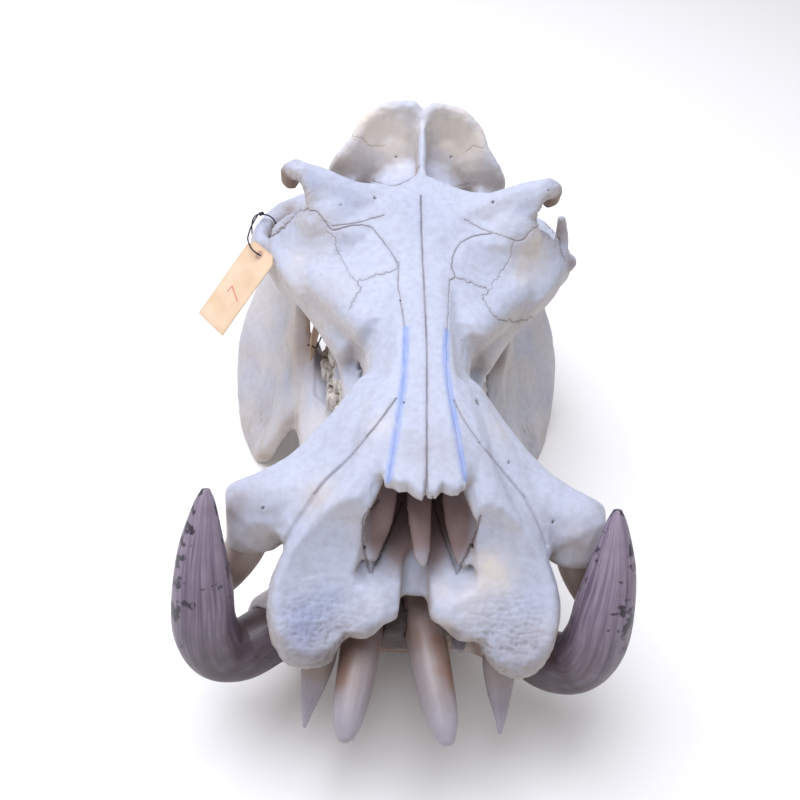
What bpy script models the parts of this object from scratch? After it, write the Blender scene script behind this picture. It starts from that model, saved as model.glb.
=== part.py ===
"""An adult hippopotamus skull, cranium resting on its lower jaw, with its tusks and two museum tags.

Metres, +Z up. The skull faces -Y and stands on z = 0; +X is the animal's left. Bones are modelled about
their own middle plane, on a floor plan whose y = 0 lies under the front of the upper jaw; the last step
moves everything so that the origin is under the middle of the whole.
"""

import math

import bmesh
import bpy
import numpy as np
from mathutils import Matrix, Vector

# The driving sizes
BONE_VOXEL = 0.0042
BLEND_PASSES = 11
CRANIUM_TRIANGLES = 6900
MANDIBLE_TRIANGLES = 2700
GAP = 0.0004
JAW_SHIFT = -0.0075  # the lower jaw lies a little to the animal's right of the cranium
BITE = 0.1840  # height of the plane where the cheek teeth meet
SIDES = {"right": -1, "left": 1}

BONE = (0.80, 0.77, 0.70)
IVORY = (0.72, 0.62, 0.48)
TUSK = (0.42, 0.36, 0.36)
CARD = (0.86, 0.68, 0.45)
CORD = (0.02, 0.02, 0.025)


def material(name, colour, roughness):
    made = bpy.data.materials.new(name)
    made.use_nodes = True
    shader = made.node_tree.nodes["Principled BSDF"]
    shader.inputs["Base Color"].default_value = (*colour, 1)
    shader.inputs["Roughness"].default_value = roughness
    return made


def link(name, mesh, finish=None):
    made = bpy.data.objects.new(name, mesh)
    bpy.context.scene.collection.objects.link(made)
    if finish:
        mesh.materials.clear()
        mesh.materials.append(finish)
    return made


# Smooth curves and closed shapes

def through(points, steps, closed=False):
    """A smooth curve (Catmull-Rom) through rows of numbers, with so many steps from each to the next."""
    rows = np.array(points, float)
    count = len(rows)
    if closed:
        padded = np.vstack([rows[-1], rows, rows[0], rows[1]])
        spans = count
    else:
        padded = np.vstack([2 * rows[0] - rows[1], rows, 2 * rows[-1] - rows[-2]])
        spans = count - 1
    made = []
    for i in range(spans):
        a, b, c, d = padded[i:i + 4]
        for t in np.arange(steps) / steps:
            made.append(0.5 * (2 * b + (c - a) * t + (2 * a - 5 * b + 4 * c - d) * t ** 2
                               + (3 * b - a - 3 * c + d) * t ** 3))
    if not closed:
        made.append(rows[-1])
    return np.array(made)


def superellipse(across, up, power, sides):
    """Points round an ellipse whose sides grow squarer as power rises above 2."""
    made = []
    for i in range(sides):
        angle = 2 * math.pi * i / sides
        c, s = math.cos(angle), math.sin(angle)
        made.append((across * math.copysign(abs(c) ** (2 / power), c),
                     up * math.copysign(abs(s) ** (2 / power), s)))
    return made


def skin_rings(name, rings):
    """One closed mesh through rings of equal length, with a fan on each end."""
    bm = bmesh.new()
    loops = [[bm.verts.new(p) for p in ring] for ring in rings]
    sides = len(loops[0])
    for low, high in zip(loops, loops[1:]):
        for i in range(sides):
            j = (i + 1) % sides
            bm.faces.new((low[i], low[j], high[j], high[i]))
    for loop in (loops[0], loops[-1]):
        middle = bm.verts.new(sum((v.co for v in loop), Vector()) / sides)
        for i in range(sides):
            bm.faces.new((loop[i], loop[(i + 1) % sides], middle))
    bmesh.ops.recalc_face_normals(bm, faces=bm.faces)
    mesh = bpy.data.meshes.new(name)
    bm.to_mesh(mesh)
    bm.free()
    return link(name, mesh)


def sweep(name, stations, up=(0, 0, 1), power=2.2, sides=16, steps=5, side=1, grow=0.0):
    """A closed bar along stations of (x, y, z, half width, half height), with its height towards up."""
    rows = through(stations, steps)
    rings = []
    for i, row in enumerate(rows):
        ahead = rows[min(i + 1, len(rows) - 1)][:3] - rows[max(i - 1, 0)][:3]
        along = Vector(ahead).normalized()
        across = along.cross(Vector(up)).normalized()
        rise = across.cross(along)
        ring = [Vector(row[:3]) + across * a + rise * b
                for a, b in superellipse(row[3] + grow, row[4] + grow, power, sides)]
        rings.append([Vector((side * p.x, p.y, p.z)) for p in ring])
    return skin_rings(name, rings)


def hull_lines(name, stations, power=2.6, sides=24, steps=4):
    """A body about the middle plane, from stations of (y, half width, top, bottom)."""
    rings = []
    for y, half, top, bottom in through(stations, steps):
        rings.append([Vector((a, y, (top + bottom) / 2 + b))
                      for a, b in superellipse(half, (top - bottom) / 2, power, sides)])
    return skin_rings(name, rings)


def dish(name, middle, rim, thickness, side=1, bend=2.0, rings=5, steps=3):
    """A curved plate from a middle point out to a rim; bend above 1 keeps it flat and turns up its rim."""
    edge = through(rim, steps, closed=True)
    bm = bmesh.new()
    centre = Vector(middle)
    mid = bm.verts.new((side * centre.x, centre.y, centre.z))
    flat = Vector(np.mean(edge, axis=0)) - centre
    loops = []
    for k in range(1, rings + 1):
        share = k / rings
        loop = []
        for p in edge:
            point = centre + (Vector(p) - centre) * share - flat * (share - share ** bend)
            loop.append(bm.verts.new((side * point.x, point.y, point.z)))
        loops.append(loop)
    count = len(edge)
    for i in range(count):
        j = (i + 1) % count
        bm.faces.new((mid, loops[0][i], loops[0][j]))
        for low, high in zip(loops, loops[1:]):
            bm.faces.new((low[i], high[i], high[j], low[j]))
    bmesh.ops.recalc_face_normals(bm, faces=bm.faces)
    mesh = bpy.data.meshes.new(name)
    bm.to_mesh(mesh)
    bm.free()
    made = link(name, mesh)
    shell = made.modifiers.new("Thickness", "SOLIDIFY")
    shell.thickness = thickness
    shell.offset = 0
    return applied(made)


def ball(name, centre, radii, side=1, turn=(0, 0, 0), rows=12):
    """An ellipsoid, turned by degrees about X, Y and Z."""
    bm = bmesh.new()
    bmesh.ops.create_uvsphere(bm, u_segments=2 * rows, v_segments=rows, radius=1)
    spin = Matrix.Identity(4)
    for axis, degrees in zip("XYZ", turn):
        spin = Matrix.Rotation(math.radians(degrees), 4, axis) @ spin
    place = Matrix.Translation(centre) @ spin @ Matrix.Diagonal((*radii, 1))
    bmesh.ops.transform(bm, matrix=place, verts=bm.verts)
    if side < 0:
        bmesh.ops.scale(bm, vec=(-1, 1, 1), verts=bm.verts)
        bmesh.ops.reverse_faces(bm, faces=bm.faces)
    mesh = bpy.data.meshes.new(name)
    bm.to_mesh(mesh)
    bm.free()
    return link(name, mesh)


# Joining, cutting and thinning

def applied(obj):
    """The object with its modifiers made part of its mesh."""
    graph = bpy.context.evaluated_depsgraph_get()
    mesh = bpy.data.meshes.new_from_object(obj.evaluated_get(graph))
    obj.modifiers.clear()
    old = obj.data
    obj.data = mesh
    bpy.data.meshes.remove(old)
    return obj


def combine(target, others, operation, solver="MANIFOLD"):
    """One Boolean of target with all the others, which are then removed."""
    group = bpy.data.collections.new("others")
    bpy.context.scene.collection.children.link(group)
    for other in others:
        group.objects.link(other)
    tool = target.modifiers.new("Boolean", "BOOLEAN")
    tool.operation = operation
    tool.solver = solver
    tool.operand_type = "COLLECTION"
    tool.collection = group
    applied(target)
    for other in others:
        bpy.data.objects.remove(other)
    bpy.data.collections.remove(group)
    return target


def blended(obj, voxel=BONE_VOXEL, passes=BLEND_PASSES):
    """Rounds the creases between fused pieces, as bone grows over them."""
    remesh = obj.modifiers.new("Fuse", "REMESH")
    remesh.mode = "VOXEL"
    remesh.voxel_size = voxel
    smooth = obj.modifiers.new("Blend", "SMOOTH")
    smooth.factor = 0.5
    smooth.iterations = passes
    return applied(obj)


def largest_surface(obj):
    """Drops all but the largest closed surface of a mesh."""
    bm = bmesh.new()
    bm.from_mesh(obj.data)
    left = set(bm.verts)
    best = []
    while left:
        seed = left.pop()
        found, edge = [seed], [seed]
        while edge:
            vert = edge.pop()
            for e in vert.link_edges:
                other = e.other_vert(vert)
                if other in left:
                    left.remove(other)
                    found.append(other)
                    edge.append(other)
        if len(found) > len(best):
            best = found
    keep = set(best)
    bmesh.ops.delete(bm, geom=[v for v in bm.verts if v not in keep], context="VERTS")
    bm.to_mesh(obj.data)
    bm.free()
    return obj


def thinned(obj, triangles):
    """The mesh with about so many triangles, most of them where it bends."""
    mesh = obj.data
    mesh.calc_loop_triangles()
    fewer = obj.modifiers.new("Fewer", "DECIMATE")
    fewer.ratio = min(1.0, triangles / len(mesh.loop_triangles))
    fewer.use_collapse_triangulate = True
    return applied(obj)


def floor_cutter():
    """A block under z = 0, which leaves small flats where the jaw stands."""
    bm = bmesh.new()
    bmesh.ops.create_cube(bm, size=1)
    bmesh.ops.scale(bm, vec=(1, 1.4, 0.1), verts=bm.verts)
    bmesh.ops.translate(bm, vec=(0, 0.3, -0.05), verts=bm.verts)
    mesh = bpy.data.meshes.new("floor_cutter")
    bm.to_mesh(mesh)
    bm.free()
    return link("floor_cutter", mesh)


# Cranium: one fused bone. Half sizes are given for the +X side and built on both.

FACE = (  # y, half width, top, bottom of the snout and braincase from front to back
    (0.150, 0.048, 0.324, 0.215),
    (0.180, 0.050, 0.328, 0.205),
    (0.225, 0.054, 0.333, 0.200),
    (0.275, 0.057, 0.337, 0.197),
    (0.330, 0.063, 0.341, 0.196),
    (0.390, 0.073, 0.346, 0.197),
    (0.440, 0.080, 0.352, 0.200),
    (0.485, 0.078, 0.362, 0.215),
    (0.530, 0.060, 0.372, 0.235),
    (0.580, 0.046, 0.350, 0.245),
    (0.630, 0.054, 0.350, 0.250),
    (0.668, 0.050, 0.345, 0.262),
)
NASAL_ROOF = (  # x, y, z, half width, half height of the two nasal bones as one bar
    (0, 0.097, 0.3180, 0.0435, 0.0070),
    (0, 0.150, 0.3240, 0.0430, 0.0085),
    (0, 0.220, 0.3280, 0.038, 0.0100),
    (0, 0.320, 0.3340, 0.032, 0.0110),
    (0, 0.440, 0.3440, 0.034, 0.0120),
)
NASAL_EDGE = 0.099
NASAL_NOTCHES = (  # x, half width, depth of the nicks in the front edge of the nasal bones
    (-0.0290, 0.0045, 0.0075), (-0.0120, 0.0060, 0.0065), (0.0000, 0.0015, 0.0120),
    (0.0150, 0.0060, 0.0090), (0.0300, 0.0045, 0.0075),
)
PALATE = (  # y, half width, top, bottom of the plate between the canines
    (0.062, 0.070, 0.222, 0.196),
    (0.090, 0.110, 0.228, 0.196),
    (0.130, 0.130, 0.236, 0.197),
    (0.175, 0.095, 0.240, 0.197),
    (0.240, 0.060, 0.245, 0.197),
)
CANINE_FLARE = (
    (0.036, 0.268, 0.288, 0.032, 0.030),
    (0.072, 0.208, 0.270, 0.036, 0.031),
    (0.110, 0.165, 0.257, 0.036, 0.031),
    (0.146, 0.144, 0.252, 0.032, 0.029),
    (0.174, 0.136, 0.251, 0.026, 0.026),
    (0.193, 0.133, 0.251, 0.020, 0.019),
)
MAXILLA_WEB = (
    (0.040, 0.250, 0.300, 0.028, 0.026),
    (0.062, 0.192, 0.288, 0.032, 0.026),
    (0.088, 0.148, 0.266, 0.036, 0.028),
    (0.110, 0.118, 0.246, 0.036, 0.030),
    (0.128, 0.112, 0.232, 0.026, 0.022),
)
TOOTH_RIDGE = (
    (0.055, 0.205, 0.226, 0.016, 0.016),
    (0.060, 0.270, 0.224, 0.018, 0.018),
    (0.066, 0.340, 0.224, 0.020, 0.020),
    (0.074, 0.400, 0.226, 0.022, 0.022),
    (0.080, 0.452, 0.230, 0.018, 0.018),
)
FORAMEN = (0.069, 0.322, 0.262), (0.012, 0.013, 0.009)  # the hole for the nerve of the face
CANINE_SOCKET = (
    (0.152, 0.133, 0.252, 0.029, 0.029),
    (0.163, 0.123, 0.235, 0.029, 0.027),
    (0.162, 0.111, 0.214, 0.030, 0.024),
)
PREMAXILLA_RIDGE = (
    (0.034, 0.250, 0.320, 0.018, 0.014),
    (0.043, 0.190, 0.314, 0.019, 0.016),
    (0.053, 0.148, 0.301, 0.021, 0.020),
    (0.071, 0.113, 0.276, 0.027, 0.026),
    (0.092, 0.084, 0.246, 0.036, 0.031),
    (0.103, 0.056, 0.214, 0.043, 0.036),
    (0.103, 0.032, 0.184, 0.037, 0.034),
    (0.101, 0.022, 0.160, 0.024, 0.024),
)
MUZZLE_FACE = (0.072, -0.0648, 0.3742), 0.190  # the ball that hollows the front of each premaxilla
VOMER = (
    (0.000, 0.300, 0.280, 0.012, 0.018),
    (0.000, 0.200, 0.278, 0.013, 0.012),
    (0.000, 0.135, 0.272, 0.0140, 0.006),
    (0.002, 0.104, 0.259, 0.0115, 0.005),
    (0.004, 0.084, 0.247, 0.0085, 0.005),
    (0.005, 0.076, 0.242, 0.0040, 0.004),
)
PALATE_FRONT = (  # the thin floor of the slot between the two premaxillae
    (0.002, 0.070, 0.200, 0.017, 0.004),
    (0.002, 0.096, 0.207, 0.017, 0.005),
    (0.003, 0.130, 0.222, 0.018, 0.008),
)
NOSE_PLATE = (  # the scroll of bone each side of it
    (0.036, 0.230, 0.290, 0.014, 0.014),
    (0.042, 0.165, 0.286, 0.022, 0.010),
    (0.044, 0.122, 0.266, 0.021, 0.006),
    (0.045, 0.100, 0.250, 0.015, 0.005),
    (0.045, 0.083, 0.236, 0.007, 0.004),
)
PREMAXILLA_INNER = (
    (0.100, 0.060, 0.214, 0.036, 0.022),
    (0.062, 0.056, 0.210, 0.034, 0.020),
    (0.034, 0.059, 0.209, 0.027, 0.017),
    (0.016, 0.063, 0.208, 0.022, 0.013),
    (0.006, 0.066, 0.208, 0.014, 0.009),
)
LIP_CORNER = (0.0500, 0.0370, 0.1990), (0.0170, 0.0150, 0.0170)  # lower inner corner of a premaxilla
CHEEK_THICKNESS, BROW_THICKNESS, NECK_THICKNESS = 0.022, 0.017, 0.016
CHEEK_MIDDLE = (0.105, 0.435, 0.318)
CHEEK_RIM = (  # the plate before the eye: tear bone and cheek bone
    (0.050, 0.465, 0.350), (0.030, 0.400, 0.338), (0.055, 0.352, 0.320), (0.078, 0.358, 0.275),
    (0.112, 0.402, 0.276), (0.142, 0.422, 0.284), (0.168, 0.456, 0.290), (0.184, 0.494, 0.297),
    (0.176, 0.509, 0.312), (0.156, 0.508, 0.332), (0.134, 0.500, 0.345), (0.104, 0.480, 0.352),
)
BROW_MIDDLE = (0.055, 0.500, 0.368)
BROW_RIM = (  # the wing of the forehead that roofs the eye
    (0.000, 0.545, 0.378), (0.050, 0.532, 0.376), (0.089, 0.524, 0.381), (0.119, 0.524, 0.391),
    (0.152, 0.523, 0.405), (0.147, 0.505, 0.389), (0.136, 0.494, 0.370), (0.118, 0.482, 0.354),
    (0.064, 0.465, 0.350), (0.020, 0.440, 0.345), (0.000, 0.430, 0.344),
)
BROW_HORN = (  # the tip of the wing, turned back and down behind the eye
    (0.124, 0.512, 0.386, 0.012, 0.009),
    (0.147, 0.519, 0.396, 0.013, 0.011),
    (0.159, 0.531, 0.388, 0.013, 0.012),
    (0.162, 0.541, 0.371, 0.0125, 0.012),
    (0.162, 0.546, 0.358, 0.009, 0.008),
)
CHEEK_HORN = (  # the point of the left cheek bone that almost meets it
    (0.189, 0.518, 0.276, 0.014, 0.010),
    (0.190, 0.540, 0.308, 0.011, 0.008),
    (0.185, 0.552, 0.339, 0.006, 0.006),
)
CHEEK_BOSS = (0.207, 0.533, 0.280), (0.009, 0.014, 0.010)  # a knob behind that point
EYE_SOCKET = (0.162, 0.529, 0.352), (0.046, 0.034, 0.035)
EYE_TURN = (0, -8, 12)
EYE_WALL = (0.108, 0.500, 0.338), (0.044, 0.042, 0.042)
EYE_RIM = (  # the raised edge before and under the eye
    (0.112, 0.478, 0.348, 0.009, 0.008),
    (0.134, 0.499, 0.343, 0.010, 0.010),
    (0.157, 0.508, 0.329, 0.010, 0.011),
    (0.177, 0.507, 0.309, 0.009, 0.011),
)
BROW_ROOT = (0.086, 0.484, 0.352), (0.042, 0.034, 0.013)
CHEEK_ROOT = (
    (0.060, 0.360, 0.258, 0.034, 0.038),
    (0.090, 0.405, 0.268, 0.032, 0.034),
    (0.128, 0.445, 0.282, 0.028, 0.029),
)
CHEEK_WEB = (
    (0.046, 0.335, 0.312, 0.028, 0.024),
    (0.078, 0.392, 0.306, 0.034, 0.028),
    (0.116, 0.442, 0.302, 0.032, 0.026),
)
CHEEK_ARCH = (
    (0.128, 0.440, 0.280, 0.026, 0.028),
    (0.161, 0.474, 0.274, 0.018, 0.028),
    (0.187, 0.513, 0.271, 0.013, 0.024),
    (0.203, 0.546, 0.260, 0.012, 0.025),
    (0.199, 0.580, 0.260, 0.013, 0.023),
    (0.176, 0.604, 0.266, 0.019, 0.022),
    (0.135, 0.616, 0.276, 0.026, 0.026),
    (0.075, 0.622, 0.290, 0.030, 0.034),
)
NECK_MIDDLE = (0.050, 0.648, 0.330)
NECK_RIM = (  # the fan of bone that the neck muscles hold
    (0.000, 0.656, 0.412), (0.034, 0.668, 0.418), (0.064, 0.664, 0.409), (0.083, 0.654, 0.392),
    (0.093, 0.640, 0.374), (0.112, 0.630, 0.352), (0.122, 0.630, 0.324), (0.116, 0.640, 0.290),
    (0.090, 0.650, 0.268), (0.050, 0.662, 0.258), (0.000, 0.668, 0.262),
)
CREST = (
    (0, 0.535, 0.362, 0.008, 0.018),
    (0, 0.575, 0.368, 0.006, 0.022),
    (0, 0.620, 0.378, 0.006, 0.026),
    (0, 0.658, 0.388, 0.008, 0.026),
)
OCCIPUT = (0, 0.655, 0.315), (0.095, 0.026, 0.066)
BRAINCASE = (0, 0.600, 0.298), (0.070, 0.075, 0.052)
CONDYLE = (0.034, 0.688, 0.262), (0.026, 0.022, 0.028)
CONDYLE_TURN = (20, 0, 20)
JOINT_PAD = (0.150, 0.604, 0.274), (0.046, 0.026, 0.022)
EAR_BULB = (0.052, 0.605, 0.240), (0.018, 0.022, 0.018)
SPINE_HOLE = (0, 0.700, 0.272), (0.017, 0.040, 0.015)
TEMPLE = (0.130, 0.572, 0.335), (0.046, 0.036, 0.052)
MASTOID = (
    (0.098, 0.640, 0.285, 0.020, 0.016),
    (0.092, 0.650, 0.245, 0.015, 0.012),
    (0.088, 0.652, 0.208, 0.008, 0.008),
)
PALATE_WING = (
    (0.030, 0.455, 0.215, 0.008, 0.018),
    (0.033, 0.495, 0.214, 0.007, 0.022),
    (0.036, 0.530, 0.222, 0.007, 0.018),
)
THROAT = (
    (0, 0.460, 0.225, 0.016, 0.016),
    (0, 0.500, 0.222, 0.024, 0.020),
    (0, 0.540, 0.205, 0.024, 0.020),
)
NOSE = (
    (0, 0.030, 0.262, 0.048, 0.040),
    (0, 0.080, 0.264, 0.050, 0.040),
    (0, 0.112, 0.268, 0.057, 0.040),
    (0, 0.150, 0.270, 0.047, 0.040),
    (0, 0.190, 0.272, 0.038, 0.038),
    (0, 0.260, 0.276, 0.026, 0.030),
    (0, 0.300, 0.276, 0.012, 0.014),
)
FRONT_NOTCH = (
    (0, 0.000, 0.200, 0.018, 0.060),
    (0, 0.050, 0.200, 0.015, 0.060),
    (0, 0.090, 0.200, 0.012, 0.060),
    (0, 0.112, 0.200, 0.006, 0.050),
)
BASE = (  # y, half width, top, bottom under the braincase
    (0.440, 0.052, 0.250, 0.200),
    (0.500, 0.040, 0.260, 0.212),
    (0.570, 0.030, 0.270, 0.226),
    (0.640, 0.040, 0.280, 0.234),
    (0.690, 0.045, 0.285, 0.240),
)
UPPER_ROOTS = 0.206  # how high the upper cheek teeth reach into the bone
TOOTH_LOBES = 0.22  # how far a cheek tooth is pinched between its lobes
UPPER_CHEEK_TEETH = (  # y, x, half length, half width from the second premolar back
    (0.236, 0.059, 0.0135, 0.0100),
    (0.268, 0.063, 0.0150, 0.0125),
    (0.298, 0.067, 0.0130, 0.0145),
    (0.332, 0.073, 0.0190, 0.0175),
    (0.376, 0.081, 0.0225, 0.0190),
    (0.422, 0.089, 0.0210, 0.0180),
)
LOWER_CHEEK_TEETH = (
    (0.232, 0.063, 0.0130, 0.0085),
    (0.262, 0.066, 0.0145, 0.0100),
    (0.293, 0.070, 0.0140, 0.0115),
    (0.328, 0.076, 0.0185, 0.0130),
    (0.372, 0.084, 0.0220, 0.0145),
    (0.424, 0.094, 0.0275, 0.0145),
)


def cheek_tooth(name, x, y, half_length, half_width, low, high, side):
    """A crown with two lobes, pinched between them on both sides."""
    rings = []
    for z, share in ((low, 0.90), ((low + high) / 2, 1.0), (high, 0.84)):
        ring = []
        for i in range(10):
            angle = 2 * math.pi * i / 10
            pinch = 1 - TOOTH_LOBES * (1 - abs(math.sin(angle))) ** 2
            ring.append(Vector((side * (x + half_width * share * pinch * math.cos(angle)),
                                y + half_length * share * math.sin(angle), z)))
        rings.append(ring)
    return skin_rings(name, rings)


def cheek_teeth(rows, low, high):
    return [cheek_tooth("tooth", x, y, length, width, low, high, side)
            for side in SIDES.values() for y, x, length, width in rows]


def cranium(finish, teeth):
    body = hull_lines("cranium", FACE)
    pieces = [
        sweep("nasal_roof", NASAL_ROOF, power=4),
        hull_lines("palate", PALATE),
        sweep("crest", CREST),
        hull_lines("base", BASE),
        ball("occiput", *OCCIPUT),
        ball("braincase", *BRAINCASE),
    ]
    for side in SIDES.values():
        pieces += [
            sweep("canine_flare", CANINE_FLARE, side=side),
            sweep("canine_socket", CANINE_SOCKET, up=(0, 1, 0), side=side),
            sweep("premaxilla_ridge", PREMAXILLA_RIDGE, side=side),
            sweep("premaxilla_inner", PREMAXILLA_INNER, side=side),
            ball("lip_corner", *LIP_CORNER, side),
            sweep("maxilla_web", MAXILLA_WEB, side=side),
            sweep("tooth_ridge", TOOTH_RIDGE, side=side),
            ball("eye_wall", *EYE_WALL, side),
            ball("brow_root", *BROW_ROOT, side),
            dish("cheek", CHEEK_MIDDLE, CHEEK_RIM, CHEEK_THICKNESS, side),
            dish("brow", BROW_MIDDLE, BROW_RIM, BROW_THICKNESS, side),
            sweep("cheek_root", CHEEK_ROOT, side=side),
            sweep("cheek_web", CHEEK_WEB, side=side),
            sweep("cheek_arch", CHEEK_ARCH, side=side),
            dish("neck_fan", NECK_MIDDLE, NECK_RIM, NECK_THICKNESS, side),
            ball("condyle", *CONDYLE, side, turn=CONDYLE_TURN),
            ball("joint_pad", *JOINT_PAD, side),
            sweep("mastoid", MASTOID, up=(0, 1, 0), side=side),
            sweep("palate_wing", PALATE_WING, side=side),
            ball("ear_bulb", *EAR_BULB, side),
        ]
    combine(body, pieces, "UNION")
    blended(body)
    cutters = [
        sweep("nose", NOSE),
        sweep("front_notch", FRONT_NOTCH, power=3),
        sweep("throat", THROAT),
        ball("spine_hole", *SPINE_HOLE),
    ]
    for side in SIDES.values():
        cutters += [
            ball("eye_socket", *EYE_SOCKET, side, turn=EYE_TURN),
            ball("muzzle_face", MUZZLE_FACE[0], (MUZZLE_FACE[1],) * 3, side, rows=24),
            ball("foramen", *FORAMEN, side),
            ball("temple", *TEMPLE, side, turn=(0, 0, 10)),
        ]
    combine(body, cutters, "DIFFERENCE")
    plates = [sweep("vomer", VOMER), sweep("palate_front", PALATE_FRONT)]
    for side in SIDES.values():
        plates.append(sweep("nose_plate", NOSE_PLATE, side=side))
        plates.append(sweep("eye_rim", EYE_RIM, side=side))
        plates.append(sweep("brow_horn", BROW_HORN, side=side))
    plates.append(sweep("cheek_horn", CHEEK_HORN, up=(0, 1, 0), side=SIDES["left"]))
    plates.append(ball("cheek_boss", *CHEEK_BOSS, SIDES["left"]))
    combine(body, plates, "UNION")
    blended(body, passes=4)
    largest_surface(body)
    thinned(body, CRANIUM_TRIANGLES)
    combine(body, cheek_teeth(UPPER_CHEEK_TEETH, BITE, UPPER_ROOTS), "UNION")
    rooms = [ball("nasal_notch", (x, NASAL_EDGE, NASAL_ROOF[0][2]), (half, deep, 0.020), rows=5)
             for x, half, deep in NASAL_NOTCHES]
    rooms += [shape(side, GAP) for side in SIDES.values() for shape in teeth]
    for side in SIDES.values():
        passing = tusk(side, GAP)
        passing.location.x = JAW_SHIFT
        rooms.append(passing)
    combine(body, rooms, "DIFFERENCE")
    largest_surface(body)
    body.data.materials.clear()
    body.data.materials.append(finish)
    return body


# Lower jaw: one fused bone

CHIN = (
    (0.054, 0.036, 0.158, 0.118),
    (0.064, 0.050, 0.161, 0.100),
    (0.084, 0.094, 0.162, 0.050),
    (0.108, 0.140, 0.162, 0.012),
    (0.145, 0.128, 0.158, -0.004),
    (0.180, 0.112, 0.150, 0.004),
    (0.215, 0.098, 0.135, 0.024),
)
TUSK_SOCKET = (
    (0.085, 0.135, 0.085, 0.045, 0.050),
    (0.118, 0.092, 0.104, 0.040, 0.042),
    (0.143, 0.068, 0.113, 0.037, 0.037),
)
JAW_BODY = (
    (0.078, 0.170, 0.080, 0.040, 0.068),
    (0.083, 0.230, 0.088, 0.034, 0.066),
    (0.088, 0.300, 0.096, 0.034, 0.062),
    (0.096, 0.360, 0.100, 0.034, 0.058),
    (0.113, 0.420, 0.114, 0.028, 0.058),
    (0.132, 0.475, 0.145, 0.018, 0.056),
)
JAW_MIDDLE = (0.152, 0.490, 0.140)
JAW_RIM = (  # the great angle of the jaw, from its hook round the back to the joint and down the front
    (0.186, 0.388, 0.002), (0.205, 0.425, -0.004), (0.220, 0.466, 0.000), (0.229, 0.512, 0.030),
    (0.229, 0.554, 0.078), (0.214, 0.592, 0.124), (0.190, 0.615, 0.170), (0.162, 0.608, 0.212),
    (0.146, 0.575, 0.232), (0.134, 0.540, 0.262), (0.130, 0.500, 0.262), (0.134, 0.458, 0.217),
    (0.128, 0.420, 0.165), (0.134, 0.392, 0.120), (0.152, 0.376, 0.086), (0.170, 0.376, 0.044),
)
ANGLE_THICKNESS = 0.020
ANGLE_FLARE = {"right": 0.0, "left": 0.11}  # outward turn of each angle, a share of its width
FLARE_FROM = 0.130  # half width where that begins
LOWER_ROOTS = 0.140
JAW_JOINT = (0.152, 0.602, 0.232), (0.040, 0.015, 0.015)
JOINT_NECK = (
    (0.150, 0.570, 0.190, 0.024, 0.012),
    (0.152, 0.595, 0.225, 0.026, 0.012),
)
TROUGH = (0, 0.165, 0.200), (0.062, 0.110, 0.070)
CORONOID = (
    (0.131, 0.500, 0.230, 0.034, 0.009),
    (0.131, 0.522, 0.268, 0.024, 0.008),
    (0.131, 0.545, 0.298, 0.012, 0.007),
)


def mandible(finish, teeth):
    body = hull_lines("mandible", CHIN)
    pieces = []
    for name, side in SIDES.items():
        rim = [(x + ANGLE_FLARE[name] * (x - FLARE_FROM), y, z) for x, y, z in JAW_RIM]
        pieces += [
            sweep("tusk_socket", TUSK_SOCKET, side=side),
            sweep("jaw_body", JAW_BODY, side=side),
            dish("jaw_angle", JAW_MIDDLE, rim, ANGLE_THICKNESS, side),
            sweep("coronoid", CORONOID, up=(1, 0, 0), side=side),
            ball("jaw_joint", *JAW_JOINT, side),
            sweep("joint_neck", JOINT_NECK, up=(0, 1, 0), side=side),
        ]
    combine(body, pieces, "UNION")
    blended(body)
    combine(body, [ball("trough", *TROUGH)], "DIFFERENCE")
    blended(body, passes=3)
    largest_surface(body)
    thinned(body, MANDIBLE_TRIANGLES)
    combine(body, cheek_teeth(LOWER_CHEEK_TEETH, LOWER_ROOTS, BITE - GAP), "UNION")
    combine(body, [floor_cutter()], "DIFFERENCE")
    combine(body, [shape(side, GAP) for side in SIDES.values() for shape in teeth], "DIFFERENCE")
    largest_surface(body)
    body.data.materials.clear()
    body.data.materials.append(finish)
    return body


# Front teeth, each with its root sunk in its socket: x, y, z, half width, half height along the tooth

UPPER_CANINE = (
    (0.163, 0.126, 0.238, 0.022, 0.022),
    (0.172, 0.118, 0.208, 0.021, 0.021),
    (0.182, 0.110, 0.182, 0.018, 0.017),
    (0.190, 0.103, 0.156, 0.010, 0.010),
    (0.193, 0.100, 0.145, 0.004, 0.003),
)
UPPER_INCISOR = (
    (0.089, 0.028, 0.178, 0.016, 0.015),
    (0.091, 0.021, 0.158, 0.017, 0.015),
    (0.095, 0.008, 0.128, 0.013, 0.011),
    (0.100, -0.008, 0.098, 0.006, 0.006),
    (0.102, -0.017, 0.080, 0.002, 0.002),
)
TUSK_LINE = (
    (0.112, 0.090, 0.108, 0.030, 0.030),
    (0.138, 0.067, 0.114, 0.031, 0.031),
    (0.165, 0.049, 0.114, 0.031, 0.031),
    (0.188, 0.042, 0.130, 0.031, 0.031),
    (0.199, 0.047, 0.168, 0.031, 0.031),
    (0.200, 0.062, 0.210, 0.029, 0.029),
    (0.201, 0.083, 0.250, 0.022, 0.022),
    (0.199, 0.106, 0.286, 0.011, 0.011),
    (0.198, 0.115, 0.300, 0.004, 0.004),
)
INNER_INCISOR = (
    (0.0210, 0.110, 0.1400, 0.0185, 0.0185),
    (0.0235, 0.068, 0.1480, 0.0205, 0.0205),
    (0.0320, 0.010, 0.1480, 0.0195, 0.0195),
    (0.0400, -0.030, 0.1440, 0.0155, 0.0155),
    (0.0440, -0.051, 0.1415, 0.0085, 0.0085),
    (0.0445, -0.056, 0.1405, 0.0035, 0.0035),
)
RIGHT_LEAN = (0.0140, 0.0150, 0.0135, 0.0110, 0.0095, 0.0090)  # how much further out the right one sits
OUTER_LEAN = 0.010
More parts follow.
